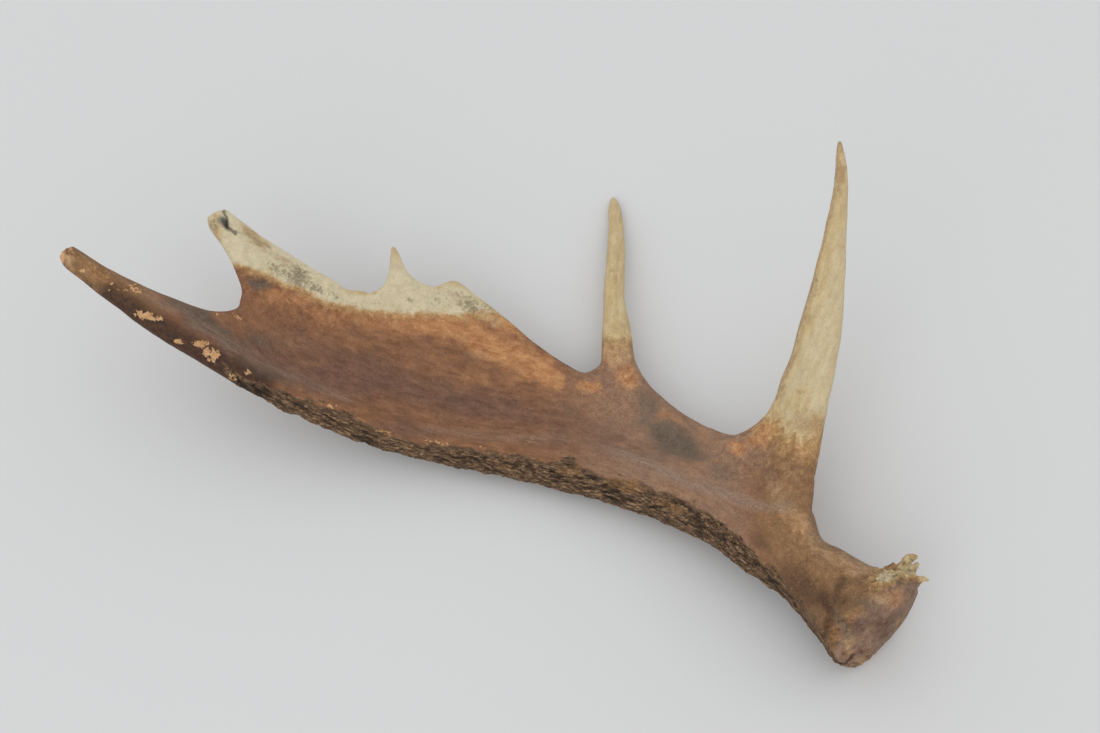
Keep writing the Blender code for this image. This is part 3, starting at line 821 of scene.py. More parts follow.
# Stripes of stain: how far the border wanders and the half width, both in mm, and the middle line.
LOOSE, TIGHT = 4.0, 1.2
STRIPES = {
    # Under the palm's bleached edge.
    "warm band": (LOOSE, 8.5, [
        (-176, 46), (-161, 43), (-136, 33), (-109, 27), (-85, 26), (-60, 24), (-35, 14), (-13, 0), (2, -7),
    ]),
    # Above the crust.
    "orange": (TIGHT, 3.2, [
        (-90, -41), (-40, -47), (0, -54), (32, -63), (56, -69), (81, -77), (97, -85), (114, -97),
    ]),
    # Worn and scratched: from the crest over the rib, and on to the end tine.
    "scuff": (TIGHT, 5.0, [(-76, -39), (-50, -42), (-20, -44), (8, -45)]),
    "far scuff": (TIGHT, 5.0, [(-250, 44), (-226, 31), (-205, 17), (-178, 2), (-150, -10), (-126, -21)]),
    # The darker side of the end tine: partly stain, partly painted shade of the side turned from the light.
    "dark side": (TIGHT, 11.0, [(-272, 43), (-252, 29), (-232, 17), (-214, 6), (-195, -5), (-180, -12)]),
    # The paler back of the beam: partly its own tone, partly a painted highlight on the side facing the
    # light.
    "beam back": (LOOSE, 8.0, [(140, -78), (150, -92), (160, -106), (172, -117), (188, -122), (202, -124)]),
    # The brown edge of the brow tine.
    "brow edge": (TIGHT, 5.0, [
        (141, -18), (148, 4), (154, 26), (159, 44), (165, 66), (171, 90), (176, 112),
    ]),
    # The greyer belt along the dish.
    "belt": (LOOSE, 13.0, [
        (-200, 10), (-165, -2), (-135, -8), (-100, -9), (-60, -20), (-20, -27), (10, -36), (40, -44),
    ]),
    # Dark, beside the rim of the shedding face.
    "neck": (TIGHT, 4.6, [(182, -132), (178.5, -141), (174, -152), (170.5, -163), (168, -173)]),
}
# The dark ring around the second tine: up at its middle, its half width in mm and its strength.
SECOND_RING = (15.5, 3.0, 0.75)

# The coronet's bleached patches.
BLEACHED_CORONET = [
    (224, -124, 22, 16, 10, 0.95), (209, -130, 22, 12, 20, 0.9), (232, -131.5, 10, 6, -10, 0.95),
]

# Distances to the borders of the crust and of the bleached bone are held within this many mm.
BORDER_REACH = 20
# Keeps the noise of neighbouring limbs, and of top and underside, apart.
LIMB_STEP, SIDE_STEP = 40, 13
# How the noise that carves the bone is stretched: cells in a mm along and around a limb.
STRETCH = {
    "plates": (1 / 16, 1 / 3.2, 1), "fissures": (1 / 20, 1 / 4.2, 1), "chips": (1 / 4.5, 1 / 1.9, 1),
    "furrows": (1 / 55, 1 / 7.0, 1), "fibres": (1 / 22, 1 / 2.2, 1),
}


def zones(points, flow, stem_end):
    """Where the parts of the surface are, each from 0 to 1 or as a distance in mm."""
    places = view_places(points)
    across = places[:, 0]
    top = flow.around >= 0
    stem = flow.limb == ON_STEM
    (gone, whole), (ended, still) = CRUST_ENDS
    ends = np.minimum((across - gone) / (whole - gone), (ended - across) / (ended - still))
    crust = np.where(top, -line_distance(places, CRUST_BORDER)[0], CRUST_UNDER + flow.around)
    crust = np.minimum(crust, np.clip(ends, -1, 1) * BORDER_REACH - 4)
    crust = np.where(stem, crust, -BORDER_REACH)
    ragged = np.stack((flow.along / 12, flow.around / 5, flow.limb * LIMB_STEP), 1)
    crust += 3.2 * layered_noise(ragged, 3, seed=21, roughness=0.6)
    return {
        "places": places,
        "top": top,
        "stem": stem,
        "crust": crust,
        "beam": ease(across, 100, 150) * stem,
        "palm": stem * ease(across, -190, -160) * (1 - ease(across, 90, 130)),
        "forks": patchwork(places, FORK_ZONES, FORK_SOFTNESS),
        "burr": ease(flow.along, stem_end - 40, stem_end - 6) * stem,
        "face": ease(flow.along, stem_end - 1.5, stem_end + 1.0) * stem,
        "crest": line_distance(places, CREST),
    }


def on_crest(zone, half, fade):
    """1 on the worn crest, and falling away beside it and towards its ends."""
    gap, share = zone["crest"]
    return np.exp(-((gap / half) ** 2)) * ease(share, 0, 0.3) * (1 - ease(share, fade, 1)) * zone["top"]


def relief(points, flow, zone, sizes):
    """How far each skin point stands out, in mm, and how far of that is rough crust and wrinkles."""
    mm = points / MM
    places, top, face, burr = zone["places"], zone["top"], zone["face"], zone["burr"]
    grain = np.stack((flow.along, flow.around, flow.limb * LIMB_STEP + top * SIDE_STEP), 1)
    lumps = layered_noise(mm / 24, 3, seed=11) * 0.45

    # The crust: plates of dried skin with fissures between them, and small chips.
    crust = ease(zone["crust"], -0.5, 5.0)
    warped = grain + 3.0 * layered_noise(mm / 12, 2, seed=5)[:, None] * (0.3, 1, 0)
    plates = layered_noise(warped * STRETCH["plates"], 3, seed=31, roughness=0.6)
    fissures = 1 - np.abs(lattice_noise(warped * STRETCH["fissures"], seed=37)) * 3.2
    chips = layered_noise(grain * STRETCH["chips"], 2, seed=41)
    rough = plates * 1.1 + chips * 0.6 - np.clip(fissures, 0, 1) * 1.1
    height = lumps + crust * rough * sizes.crust_height / MM

    # Furrows that blood vessels left: along the beam and the tines, and winding over the underside.
    winding = grain + 5.0 * layered_noise(mm / 30, 2, seed=51)[:, None] * (0, 1, 0)
    furrow = 1 - np.abs(lattice_noise(winding * STRETCH["furrows"], seed=53)) * 3.0
    fibres = layered_noise(winding * STRETCH["fibres"], 2, seed=57)
    seam = ease(np.minimum(flow.near, flow.far), 0, 4)
    depth = np.clip(zone["beam"] * 0.05 + ~top * 0.8 + (flow.limb == ON_BROW) * 0.1 + 0.08, 0, 1)
    depth = depth * (1 - crust) * (1 - face) * (0.35 + 0.65 * seam) * (1 - 0.9 * zone["forks"])
    height -= (np.clip(furrow, 0, 1) ** 1.5 * 0.9 - fibres * 0.4) * depth * sizes.furrow_depth / MM

    uneven = 0.5 + 0.3 * lattice_noise(mm / 5, seed=61)
    height += on_crest(zone, 2.2, 0.85) * uneven * sizes.crest_height / MM

    # The shedding face: a ridge and a hollow, a sharp left rim, and wrinkles with a flake at its foot.
    ridge = near_line(places, *FACE_RIDGE)
    hollow = ease(patch_share(places, *FACE_HOLLOW), 0, 0.8)
    wrinkle_gap = np.abs(line_distance(places, FACE_WRINKLES)[0])
    folded = np.maximum(face, burr * 0.8) * (1 - ease(wrinkle_gap, *WRINKLE_FADE))
    waves = lattice_noise(np.stack((places[:, 0] / 5.0, places[:, 1] / 1.9, mm[:, 2] / 6), 1)
                          + 0.7 * layered_noise(mm / 6, 2, seed=71)[:, None], seed=73)
    flake = near_line(places, *FACE_FLAKE)
    grit = layered_noise(mm / 3.4, 3, seed=77, roughness=0.6)
    edge = near_line(places, *FACE_RIM) * np.maximum(burr, face)
    height += edge * (1.2 + 0.5 * grit) * sizes.face_relief / MM
    height += face * (ridge * 2.0 - hollow * 1.8 + grit * 0.16) * sizes.face_relief / MM
    height += folded * (waves * 2.0 + flake * 1.8) * sizes.face_relief / MM
    height += burr * (1 - face) * layered_noise(mm / 5, 2, seed=79) * 0.4

    # The coronet's beads, and the splintered end of the end tine.
    beaded = ease(patch_share(places, *BEADS), 0, 0.4) * (1 - 0.8 * face)
    beads = lattice_noise(mm / 3.0, seed=83) + 0.5 * lattice_noise(mm / 1.6, seed=84)
    height += beaded * beads * 1.1
    torn = (1 - ease(flow.along, 1, 7)) * zone["stem"]
    height -= torn * np.clip(layered_noise(mm / 4.5, 3, seed=87, roughness=0.6), 0, 1) * 4.0
    return height, crust * rough + folded * waves * 1.6 + beaded * (beads - 0.35) * 1.1


def bleaching(places, flow):
    """How far each place is inside the bleached bone, in mm."""
    across, up = places.T
    palm_end, palm_start = BLEACHED_PALM[-1][0], BLEACHED_PALM[1][0] - 4
    palm = np.minimum(line_distance(places, BLEACHED_PALM)[0], palm_end - across)
    palm = np.where(flow.limb == ON_STEM, np.minimum(palm, across - palm_start), palm)
    palm = palm - 9 * ease(across, -62, -28)
    second = np.where((across > 10) & (across < 90), up - BLEACHED_SECOND, -BORDER_REACH)
    brow = np.where(across > 90, line_distance(places, BLEACHED_BROW)[0], -BORDER_REACH)
    coronet = patchwork(places, BLEACHED_CORONET) * 26 - BORDER_REACH
    return np.clip(np.maximum.reduce([palm, second, brow, coronet]), -BORDER_REACH, BORDER_REACH)


def marks(points, flow, zone, rough):
    """What the material reads at each skin point: distances in mm, and shares from 0 to 1."""
    mm = points / MM
    places, top, stem = zone["places"], zone["top"] * 1.0, zone["stem"]
    across, up = places.T
    brow, second = flow.limb == ON_BROW, flow.limb == ON_SECOND
    wander = np.stack([layered_noise(mm / 13, 3, seed=seed, roughness=0.6) for seed in (91, 97)], 1)
    loose, tight = places + LOOSE * wander, places + TIGHT * wander
    stripe = {
        name: near_line(places + swing * wander, line, half)
        for name, (swing, half, line) in STRIPES.items()
    }
    rim = (1 - ease(flow.far, 1.5, 6)) * stem

    # The bleached bone has a frayed border on the brow tine, and a wider one towards the palm's ends.
    fibres = layered_noise(np.stack((across / 2.6, up / 11, mm[:, 2] / 9), 1), 3, seed=103)
    frayed = (across > 100) * (up > -70)
    shifted = places + 0.7 * wander
    shifted[:, 1] += 1.2 * fibres * frayed
    wide = np.maximum.reduce([
        ease(across, -75, -45) * 0.7, ease(-across, 140, 175) * 0.4, (across > 10) * 1.0, frayed * 1.12,
        np.full_like(across, 0.42),
    ])
    bleached = bleaching(shifted, flow) * (1 - 0.75 * wide)
    pale = ease(bleached, -1.5, 0.3)

    found = {
        name: patchwork(tight if name in ("scrape", "smudge") else loose, patches)
        for name, patches in STAINS.items()
    }
    for name in ("scrape", "smudge"):
        found[name] *= top
        # Away from the patches the mark is so low that no noise lifts it over the glaze's start.
        found[name] -= 0.25 * (found[name] < 0.05)
    found["cool"] *= 0.35 + 0.65 * top
    found["spots"] *= ease(bleached, -3, -1)
    soaked = zone["palm"] * (1 - pale)
    ring_up, ring_half, ring_most = SECOND_RING
    more = {
        "warm": [
            stripe["warm band"] * (0.6 + 0.6 * ease(across, -120, -50)),
            stripe["orange"] * 0.3 * ease(across, -60, 60), soaked * 0.22,
        ],
        "burnt": [stripe["dark side"], stripe["neck"] * 0.68 * top],
        "plum": [stripe["belt"] * (0.95 - 0.35 * ease(across, -60, 20)) * top],
        "cool": [np.exp(-(((up - ring_up) / ring_half) ** 2)) * second * ring_most, soaked * 0.2],
        "tan": [rim * 0.75, brow * (0.85 - 0.3 * ease(flow.near, 8, 15)), second * 0.85],
        "sallow": [stripe["beam back"] * 0.62],
        "spots": [pale * (0.4 + 0.15 * brow), pale * stripe["brow edge"] * 1.05],
    }
    for name, shares in more.items():
        found[name] = np.maximum.reduce([found[name], *shares])
    # Painted sheen: the stem's far edge is greyed along its rim.
    found["cool"] = np.maximum(found["cool"], rim * 0.4 * (1 - found["warm"]))
    found["tan"] *= pale

    # Painted shade: the colour is darker in the low places of the crust, the face's wrinkles and the
    # coronet's beads, and along the cracks.
    crevice_shade = rough
    for line, half, depth in CRACKS:
        crevice_shade = crevice_shade - depth * near_line(tight, line, half) * top
    scuffed = np.maximum(stripe["scuff"], stripe["far scuff"]) * top * 0.6
    hazel = np.maximum(ease(across, 110, 150), 1 - ease(across, -262, -225))
    return {
        **found,
        "char": found["burnt"] * ease(zone["crust"], 0, 4),
        "fawn": ease(across, -25, 60) * (1 - zone["beam"]),
        "hazel": hazel * (1 - 0.25 * zone["forks"]),
        "crest": np.maximum(on_crest(zone, 4.2, 0.8), scuffed),
        "bleached": bleached / 10,
        "crust": np.clip(zone["crust"] / 3, -1, 1),
        "crevice_shade": crevice_shade,
        "face": zone["face"],
        "forks": np.maximum(zone["forks"], zone["beam"] * 0.8),
        "pit": patchwork(tight, PIT_SHADE_PATCHES) * top,
    }


def carve(antler, guides, sizes):
    """Raises the relief on the skin and leaves the marks that the material reads."""
    mesh = antler.data
    points, normals = read_vectors(mesh.vertices, "co"), read_vectors(mesh.vertex_normals, "vector")
    flow = read_flow(points, guides)
    stem_end = guides[guides[:, LIMB] == ON_STEM, ALONG].max() / MM
    zone = zones(points, flow, stem_end)
    height, rough = relief(points, flow, zone, sizes)
    moved = points + normals * height[:, None] * MM
    moved[:, 2] = np.maximum(moved[:, 2], 0)
    mesh.vertices.foreach_set("co", moved.astype(np.float32).ravel())
    mesh.update()
    for name, values in marks(points, flow, zone, rough).items():
        mark = mesh.attributes.new(name, "FLOAT", "POINT")
        mark.data.foreach_set("value", np.asarray(values, np.float32))
    grain = np.stack((flow.along, flow.around, flow.limb * LIMB_STEP), 1)
    flowing = mesh.attributes.new("grain", "FLOAT_VECTOR", "POINT")
    flowing.data.foreach_set("vector", grain.astype(np.float32).ravel())


def main_skin(sizes):
    """The whole antler: grown, smoothed, carved and thinned to the triangles it may have."""
    antler, guides = grow_limbs(sizes)
    calm_forks(antler, sizes)
    wear_flat(antler.data)
    carve(antler, guides, sizes)
    thin = antler.modifiers.new("thin", "DECIMATE")
    faces = sum(len(p.vertices) - 2 for p in antler.data.polygons)
    thin.ratio = min(1.0, sizes.most_triangles / faces)
    apply_modifiers(antler)
    antler.data.transform(Matrix.Translation(TO_ORIGIN))
    antler.data.shade_smooth()
    return antler


# ---------------------------------------------------------------- finishes

def linear(hex_colour):
    """An sRGB hex value as a linear colour."""
    shares = [int(hex_colour[i:i + 2], 16) / 255 for i in (1, 3, 5)]
    return tuple(c / 12.92 if c <= 0.04045 else ((c + 0.055) / 1.055) ** 2.4 for c in shares)


# Each tone of the bone: its dark and its pale side, and what it is.
TONES = {
    "umber": ("#6C472E", "#8D6244", "The palm, soaked brown by soil"),
    "fawn": ("#7C5E4B", "#91735C", "The paler brown towards the beam"),
    "hazel": ("#715132", "#906D49", "The beam and the end tine's tip"),
    "plum": ("#553A2D", "#725344", "Reddish grey in the dish"),
    # The cool tone is also painted sheen along the stem's far edge.
    "cool": ("#4A4036", "#655A4C", "Grey bruises of old dirt"),
    # The burnt tone is partly painted shade: on the beam's lower-left side and on the end tine's darker side.
    "burnt": ("#21140E", "#4A2C18", "The darkest stains"),
    "warm": ("#9A633A", "#C29060", "Rust-coloured bands and patches"),
    # The crest tone is partly wear and partly a painted highlight.
    "crest": ("#7A6353", "#947F70", "The handled crest"),
    "face": ("#725745", "#927663", "The shedding face"),
    "honey": ("#A37B4C", "#C29F6C", "The edge of the bleached bone"),
    "cream": ("#BBB090", "#CEC2A3", "Bone bleached by the sun"),
    # The sallow tone, on the beam's back, is partly a painted highlight.
    "sallow": ("#957653", "#B79570", "The paler back of the beam"),
    "spots": ("#745330", "#A37F58", "Brown spots on the bleached bone"),
    "straw": ("#A98F62", "#C9B386", "Yellowed rims and tips"),
    "smudge": ("#5A5140", "#887B63", "Dirt on the bleached bone"),
    "bark": ("#2B1914", "#7D644C", "The crust"),
    "fleck": ("#7D6042", "#B0906E", "Chipped flecks in the crust"),
    "soot": ("#110D0B", "#211713", "Cracks in the crust"),
    "scrape": ("#AD8155", "#CDA377", "Places where the stain is scraped off"),
    # The pit tone is painted shade in the broken corner's cavity.
    "pit": ("#141413", "#6A675E", "The broken corner's cavity"),
}


def add_node(tree, kind, inputs=None, **settings):
    """Adds a node with its settings, and fills or links its inputs."""
    node = tree.nodes.new(kind)
    for name, value in settings.items():
        setattr(node, name, value)
    for socket, value in (inputs or {}).items():
        if isinstance(value, bpy.types.NodeSocket):
            tree.links.new(value, node.inputs[socket])
        else:
            node.inputs[socket].default_value = value
    return node


# Patterns in the bone: what they lie on, the size of a cell in mm, the detail and the roughness.
# "grain" runs along each limb, around it and from limb to limb.
PATTERNS = {
    "cloud": ("place", (18, 18, 18), 3, 0.55),
    "mottle": ("place", (4.2, 4.2, 4.2), 4, 0.6),
    "speck": ("place", (2.2, 2.2, 2.2), 3, 0.6),
    "grit": ("place", (1.25, 1.25, 1.25), 3, 0.65),
    "drift": ("grain", (11, 4.4, 1), 5, 0.65),
    "scratch": ("grain", (15, 0.9, 1), 2, 0.6),
    "flake": ("grain", (4.5, 1.1, 1), 3, 0.65),
    "chip": ("grain", (13, 3.0, 1), 3, 0.6),
}

# The tone under all glazes, and the pattern that it goes from dark to pale with.
GROUND = ("umber", "drift")

# Glazes from the bottom up. Each grows where its mark, swung by the edge's pattern, runs from low to high,
# and covers at most that much. Its tone goes from dark to pale with the shade's pattern.
Glaze = namedtuple("Glaze", "mark low high edge swing tone shade most")
GLAZES = [Glaze(*row) for row in [
    ("fawn", 0.0, 1.0, "cloud", 0.4, "fawn", "drift", 0.95),
    ("hazel", 0.1, 0.9, "cloud", 0.4, "hazel", "drift", 0.95),
    ("face", 0.3, 0.7, "mottle", 0.3, "face", "mottle", 0.95),
    ("plum", 0.05, 1.0, "cloud", 0.4, "plum", "drift", 0.9),
    ("warm", 0.12, 1.0, "cloud", 0.7, "warm", "drift", 0.9),
    ("sallow", 0.15, 1.0, "mottle", 0.5, "sallow", "mottle", 0.9),
    ("hazel", 1.1, 1.3, "speck", 1.4, "honey", "grit", 0.5),
    ("hazel", 1.1, 1.3, "speck", -1.4, "burnt", "grit", 0.42),
    ("cool", 0.1, 1.0, "mottle", 0.5, "cool", "mottle", 0.9),
    ("burnt", 0.12, 0.95, "drift", 0.45, "burnt", "speck", 0.92),
    # The crest glaze: wear, and a painted highlight along the ridge.
    ("crest", 0.15, 1.0, "scratch", 0.8, "crest", "scratch", 0.58),
    ("bleached", -0.38, 0.05, "mottle", 0.4, "honey", "mottle", 0.8),
    ("bleached", -0.08, 0.16, "mottle", 0.3, "cream", "mottle", 0.97),
    ("tan", 0.15, 1.0, "chip", 1.1, "straw", "drift", 0.9),
    ("spots", 0.6, 1.15, "mottle", 1.8, "spots", "grit", 0.5),
    ("smudge", 0.3, 1.0, "speck", 1.8, "smudge", "grit", 0.8),
    ("crust", 0.0, 0.5, "speck", 2.2, "scrape", "grit", 0.45),
    ("crust", -0.15, 0.5, "chip", 1.4, "bark", "flake", 0.95),
    ("worn", 0.3, 0.8, "chip", 1.2, "hazel", "flake", 0.85),
    ("crust", 1.0, 1.14, "flake", 1.0, "fleck", "mottle", 0.8),
    ("crust", 1.08, 1.2, "chip", -1.0, "soot", "grit", 0.8),
    ("char", 0.2, 0.9, "chip", 1.2, "soot", "grit", 0.65),
    ("scrape", 0.42, 0.62, "speck", 2.3, "scrape", "mottle", 0.92),
    # Painted shade in the corner tine's cavities.
    ("pit", 0.1, 0.8, "mottle", 0.6, "pit", "mottle", 0.95),
]]

# Where a pattern counts as low and as high, for a tone and for what it spreads evenly.
TONE_RANGE, SPREAD_RANGE = (0.33, 0.67), (0.3, 0.7)
# What a pattern spreads evenly: the pattern, and the value where it is low and where it is high.
SPREADS = {
    "speckle": ("grit", 0.78, 1.22), "scratches": ("scratch", 0.94, 1.06), "roughness": ("mottle", 0.5, 0.62),
}
# The roughness of some glazes, from the bottom up.
GLAZE_ROUGHNESS = {"face": 0.75, "cream": 0.5, "bark": 0.85, "smudge": 0.75}
# How high the bump stands, in mm: pores and fibres everywhere, and thin flakes on the crust.
BUMPS = {"grit": 0.16, "scratch": 0.14, "flaking": 1.1}

# Sockets of the Mix node whose names others share, by number.
FACTOR, VALUE_A, VALUE_B, COLOUR_A, COLOUR_B = 0, 2, 3, 6, 7
COLOUR_OUT = 2


def bone_patterns(tree):
    """The outputs of all patterns, by name."""
    # What the patterns lie on, and its units in a mm.
    sources = {
        "place": (add_node(tree, "ShaderNodeTexCoord").outputs["Object"], 1 / MM),
        "grain": (add_node(tree, "ShaderNodeAttribute", attribute_name="grain").outputs["Vector"], 1.0),
    }
    patterns = {}
    for name, (source, cell, detail, roughness) in PATTERNS.items():
        vector, unit = sources[source]
        scaled = add_node(tree, "ShaderNodeVectorMath", {
            0: vector, 1: [unit / size for size in cell],
        }, operation="MULTIPLY")
        patterns[name] = add_node(tree, "ShaderNodeTexNoise", {
            "Vector": scaled.outputs[0], "Scale": 1.0, "Detail": detail, "Roughness": roughness,
            "Distortion": 0.3,
        }).outputs["Fac"]

    # Along the limbs the patterns are drawn out, but not in the forks, where one limb's growth meets
    # another's.
    forks = add_node(tree, "ShaderNodeAttribute", attribute_name="forks").outputs["Fac"]
    for drawn, even in (("drift", "mottle"), ("scratch", "grit")):
        patterns[drawn] = add_node(tree, "ShaderNodeMix", {
            FACTOR: forks, VALUE_A: patterns[drawn], VALUE_B: patterns[even],
        }).outputs[0]
    return patterns


def glaze_bone(tree, patterns, colours):
    """The bone's colour under all its glazes, and how far the glaze of each tone covers it."""
    tones = {}
    for name, pattern in dict.fromkeys([GROUND, *((glaze.tone, glaze.shade) for glaze in GLAZES)]):
        spread = add_node(tree, "ShaderNodeMapRange", {
            "Value": patterns[pattern], "From Min": TONE_RANGE[0], "From Max": TONE_RANGE[1],
        })
        tones[name, pattern] = add_node(tree, "ShaderNodeMix", {
            FACTOR: spread.outputs[0],
            COLOUR_A: (*getattr(colours, name + "_dark"), 1),
            COLOUR_B: (*getattr(colours, name + "_pale"), 1),
        }, data_type="RGBA").outputs[COLOUR_OUT]

    colour = tones[GROUND]
    covers = {}
    for glaze in GLAZES:
        mark = add_node(tree, "ShaderNodeAttribute", attribute_name=glaze.mark)
        centred = add_node(tree, "ShaderNodeMath", {0: patterns[glaze.edge], 1: 0.5}, operation="SUBTRACT")
        swung = add_node(tree, "ShaderNodeMath", {
            0: centred.outputs[0], 1: glaze.swing, 2: mark.outputs["Fac"],
        }, operation="MULTIPLY_ADD")
        covers[glaze.tone] = add_node(tree, "ShaderNodeMapRange", {
            "Value": swung.outputs[0], "From Min": glaze.low, "From Max": glaze.high, "To Max": glaze.most,
        }, interpolation_type="SMOOTHSTEP").outputs[0]
        colour = add_node(tree, "ShaderNodeMix", {
            FACTOR: covers[glaze.tone], COLOUR_A: colour, COLOUR_B: tones[glaze.tone, glaze.shade],
        }, data_type="RGBA").outputs[COLOUR_OUT]
    return colour, covers


def weathered_bone(colours):
    """Antler bone, grown, shed and left outdoors: dull, streaked along its growth and stained by soil.

    The sun bleached the thin edges to cream, hands and wear left a soft gloss on the dish, and the rear rib
    keeps a crust of dried skin, which is rough and nearly black with tan chips.
    """
    material = bpy.data.materials.new("weathered antler bone")
    material.use_nodes = True
    tree = material.node_tree
    shader = tree.nodes["Principled BSDF"]
    patterns = bone_patterns(tree)
    colour, covers = glaze_bone(tree, patterns, colours)

    # Fine speckle all over, weaker on the cream, and painted shade in the low places of the relief and along
    # the cracks.
    spreads = {
        name: add_node(tree, "ShaderNodeMapRange", {
            "Value": patterns[pattern], "From Min": SPREAD_RANGE[0], "From Max": SPREAD_RANGE[1],
            "To Min": low, "To Max": high,
        }).outputs[0]
        for name, (pattern, low, high) in SPREADS.items()
    }
    fissure = add_node(tree, "ShaderNodeAttribute", attribute_name="crevice_shade")
    shade = add_node(tree, "ShaderNodeMapRange", {
        "Value": fissure.outputs["Fac"], "From Min": -1.4, "From Max": -0.1, "To Min": 0.35, "To Max": 1.0,
    }, interpolation_type="SMOOTHSTEP")
    speckle = add_node(tree, "ShaderNodeMath", {
        0: spreads["speckle"], 1: spreads["scratches"],
    }, operation="MULTIPLY").outputs[0]
    faint = add_node(tree, "ShaderNodeMath", {0: speckle, 1: 0.35, 2: 0.65}, operation="MULTIPLY_ADD")
    speckle = add_node(tree, "ShaderNodeMix", {
        FACTOR: covers["cream"], VALUE_A: speckle, VALUE_B: faint.outputs[0],
    })
    light = add_node(tree, "ShaderNodeMath", {
        0: speckle.outputs[0], 1: shade.outputs[0],
    }, operation="MULTIPLY")
    colour = add_node(tree, "ShaderNodeVectorMath", {
        0: colour, "Scale": light.outputs[0],
    }, operation="SCALE").outputs[0]
    tree.links.new(colour, shader.inputs["Base Color"])

    roughness = spreads["roughness"]
    for name, value in GLAZE_ROUGHNESS.items():
        roughness = add_node(tree, "ShaderNodeMix", {
            FACTOR: covers[name], VALUE_A: roughness, VALUE_B: value,
        }).outputs[0]
    tree.links.new(roughness, shader.inputs["Roughness"])
    shader.inputs["IOR"].default_value = 1.54
    shader.inputs["Specular IOR Level"].default_value = 0.25

    flaking = add_node(tree, "ShaderNodeMath", {
        0: patterns["flake"], 1: covers["bark"],
    }, operation="MULTIPLY")
    raised = {**patterns, "flaking": flaking.outputs[0]}
    height = 0.0
    for name, rise in BUMPS.items():
        height = add_node(tree, "ShaderNodeMath", {
            0: raised[name], 1: rise, 2: height,
        }, operation="MULTIPLY_ADD").outputs[0]
    bump = add_node(tree, "ShaderNodeBump", {"Height": height, "Distance": MM, "Strength": 1.0})
    tree.links.new(bump.outputs["Normal"], shader.inputs["Normal"])
    return material


# ---------------------------------------------------------------- the add-on

# Lengths that a user may change, in mm, and counts: the default, the least, the most and what it is.
LENGTHS = {
    "skin_grain": (0.9, 0.5, 4, "Edge of the cells that fuse the limbs"),
    "pearl_radius": (3.8, 0.5, 10, "Largest lump of the coronet"),
    "crust_height": (0.9, 0, 4, "Roughness of the crust on the rear rib"),
    "furrow_depth": (0.9, 0, 4, "Depth of the furrows along the beam"),
    "crest_height": (1.0, 0, 4, "Height of the worn crest"),
    "face_relief": (1.0, 0, 4, "Relief of the shedding face"),
}
COUNTS = {
    "skin_smoothing": (4, 0, 20, "How often the fused skin is smoothed"),
    "fork_smoothing": (220, 0, 400, "How often the forks and the dish are smoothed"),
    "most_triangles": (195000, 10000, 199000, "The carved skin is thinned to this many"),
}


def title(name):
    return name.replace("_", " ").capitalize()


class AntlerSizes(bpy.types.PropertyGroup):
    """The sizes that a user may change."""

    __annotations__ = {
        name: bpy.props.FloatProperty(
            name=title(name), description=text, default=size * MM, min=least * MM, max=most * MM,
            unit="LENGTH", precision=5,
        )
        for name, (size, least, most, text) in LENGTHS.items()
    } | {
        name: bpy.props.IntProperty(name=title(name), description=text, default=count, min=least, max=most)
        for name, (count, least, most, text) in COUNTS.items()
    }


class AntlerColours(bpy.types.PropertyGroup):
    """The colours that a user may change."""

    __annotations__ = {
        f"{tone}_{side}": bpy.props.FloatVectorProperty(
            name=title(f"{tone}_{side}"), description=text, default=linear(hex_colour), subtype="COLOR",
            min=0.0, max=1.0,
        )
        for tone, (dark, pale, text) in TONES.items()
        for side, hex_colour in (("dark", dark), ("pale", pale))
    }


class ANTLER_OT_grow(bpy.types.Operator):
    """Grow and carve the antler"""

    bl_idname = "antler.grow"
    bl_label = "Grow the antler"

    def execute(self, context):
        antler = main_skin(context.scene.antler_sizes)
        antler.data.materials.clear()
        antler.data.materials.append(weathered_bone(context.scene.antler_colours))
        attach(antler, "root")
        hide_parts("beam", "palm", "brow_tine", "second_tine", "end_tine")
        return {"FINISHED"}


# The stage: a floor of paper in the even light of a white room with one large window. Lengths and places are
# in metres, and the lens and its sensor in mm.
PAPER_COLOUR, PAPER_ROUGHNESS = (0.63, 0.635, 0.64, 1), 0.9
FLOOR_HALF = 3.0
ROOM_LIGHT = 0.96
WINDOW_EDGE, WINDOW_POWER = 3.0, 34
WINDOW_PLACE = Vector((-1.8, -3.4, 2.7))
LENS, SENSOR = 84.46, 36


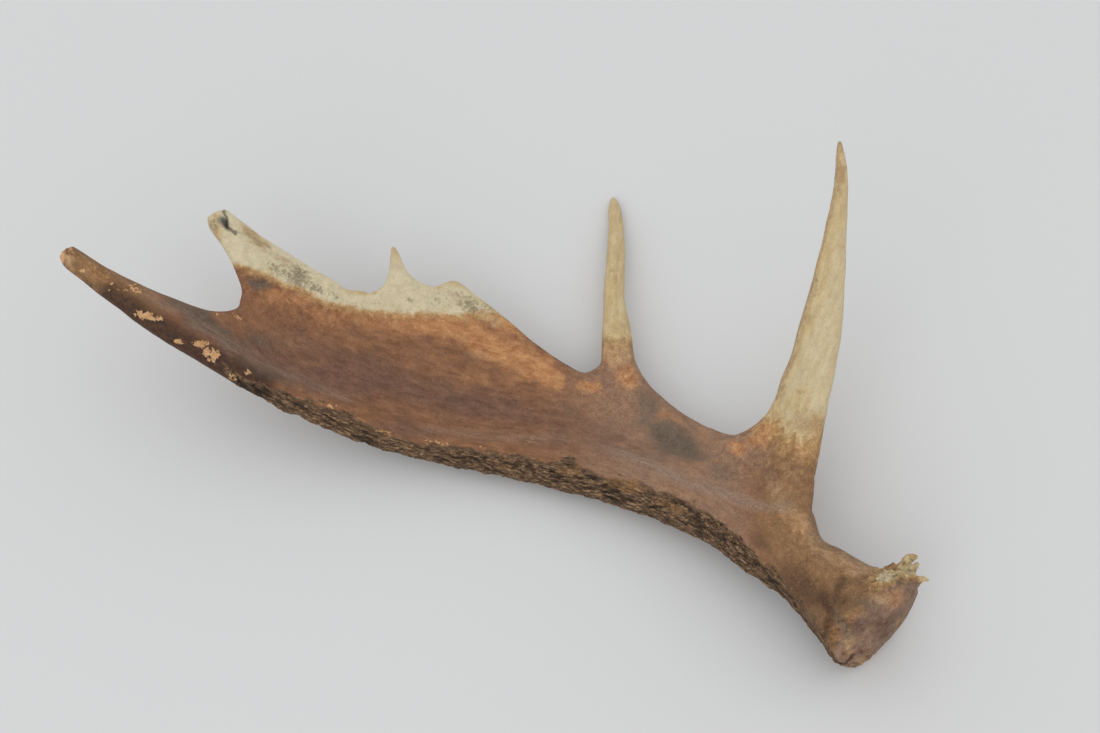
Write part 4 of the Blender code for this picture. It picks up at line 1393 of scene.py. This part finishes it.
class ANTLER_OT_stage(bpy.types.Operator):
    """Lay the floor and set the lights and the camera"""

    bl_idname = "antler.stage"
    bl_label = "Set the stage"

    def execute(self, context):
        scene = context.scene
        scene.view_settings.view_transform = "Standard"
        bm = bmesh.new()
        bmesh.ops.create_grid(bm, x_segments=1, y_segments=1, size=FLOOR_HALF)
        floor = new_object(bm, "floor")
        paper = bpy.data.materials.new("paper")
        paper.use_nodes = True
        shader = paper.node_tree.nodes["Principled BSDF"]
        shader.inputs["Base Color"].default_value = PAPER_COLOUR
        shader.inputs["Roughness"].default_value = PAPER_ROUGHNESS
        floor.data.materials.append(paper)

        scene.world = bpy.data.worlds.new("studio")
        scene.world.use_nodes = True
        room = scene.world.node_tree.nodes["Background"]
        room.inputs["Color"].default_value = (1, 1, 1, 1)
        room.inputs["Strength"].default_value = ROOM_LIGHT

        lamp = bpy.data.lights.new("window", "AREA")
        lamp.size = WINDOW_EDGE
        lamp.energy = WINDOW_POWER
        camera = bpy.data.cameras.new("camera")
        camera.lens = LENS
        camera.sensor_width = SENSOR
        back = Vector((0, -math.cos(VIEW_ELEVATION), math.sin(VIEW_ELEVATION)))
        for data, place, behind in (
            (lamp, WINDOW_PLACE, WINDOW_PLACE), (camera, TO_ORIGIN + back * VIEW_DISTANCE * MM, back),
        ):
            obj = bpy.data.objects.new(data.name, data)
            obj.location = place
            obj.rotation_euler = (-behind).to_track_quat("-Z", "Y").to_euler()
            scene.collection.objects.link(obj)
        scene.camera = obj
        return {"FINISHED"}


class ANTLER_PT_panel(bpy.types.Panel):
    """Lists the antler's sizes, colours and operators"""

    bl_idname = "ANTLER_PT_panel"
    bl_label = "Moose antler"
    bl_space_type = "VIEW_3D"
    bl_region_type = "UI"
    bl_category = "Antler"

    def draw(self, context):
        layout = self.layout
        for group in (context.scene.antler_sizes, context.scene.antler_colours):
            for name in group.__annotations__:
                layout.prop(group, name)
        for operator in (ANTLER_OT_grow, ANTLER_OT_stage):
            layout.operator(operator.bl_idname)


CLASSES = (AntlerSizes, AntlerColours, ANTLER_OT_grow, ANTLER_OT_stage, ANTLER_PT_panel)


def register():
    for cls in CLASSES:
        bpy.utils.register_class(cls)
    bpy.types.Scene.antler_sizes = bpy.props.PointerProperty(type=AntlerSizes)
    bpy.types.Scene.antler_colours = bpy.props.PointerProperty(type=AntlerColours)


def unregister():
    del bpy.types.Scene.antler_colours
    del bpy.types.Scene.antler_sizes
    for cls in reversed(CLASSES):
        bpy.utils.unregister_class(cls)


def main():
    register()
    bpy.ops.antler.grow()
    bpy.ops.antler.stage()


if __name__ == "__main__":
    main()
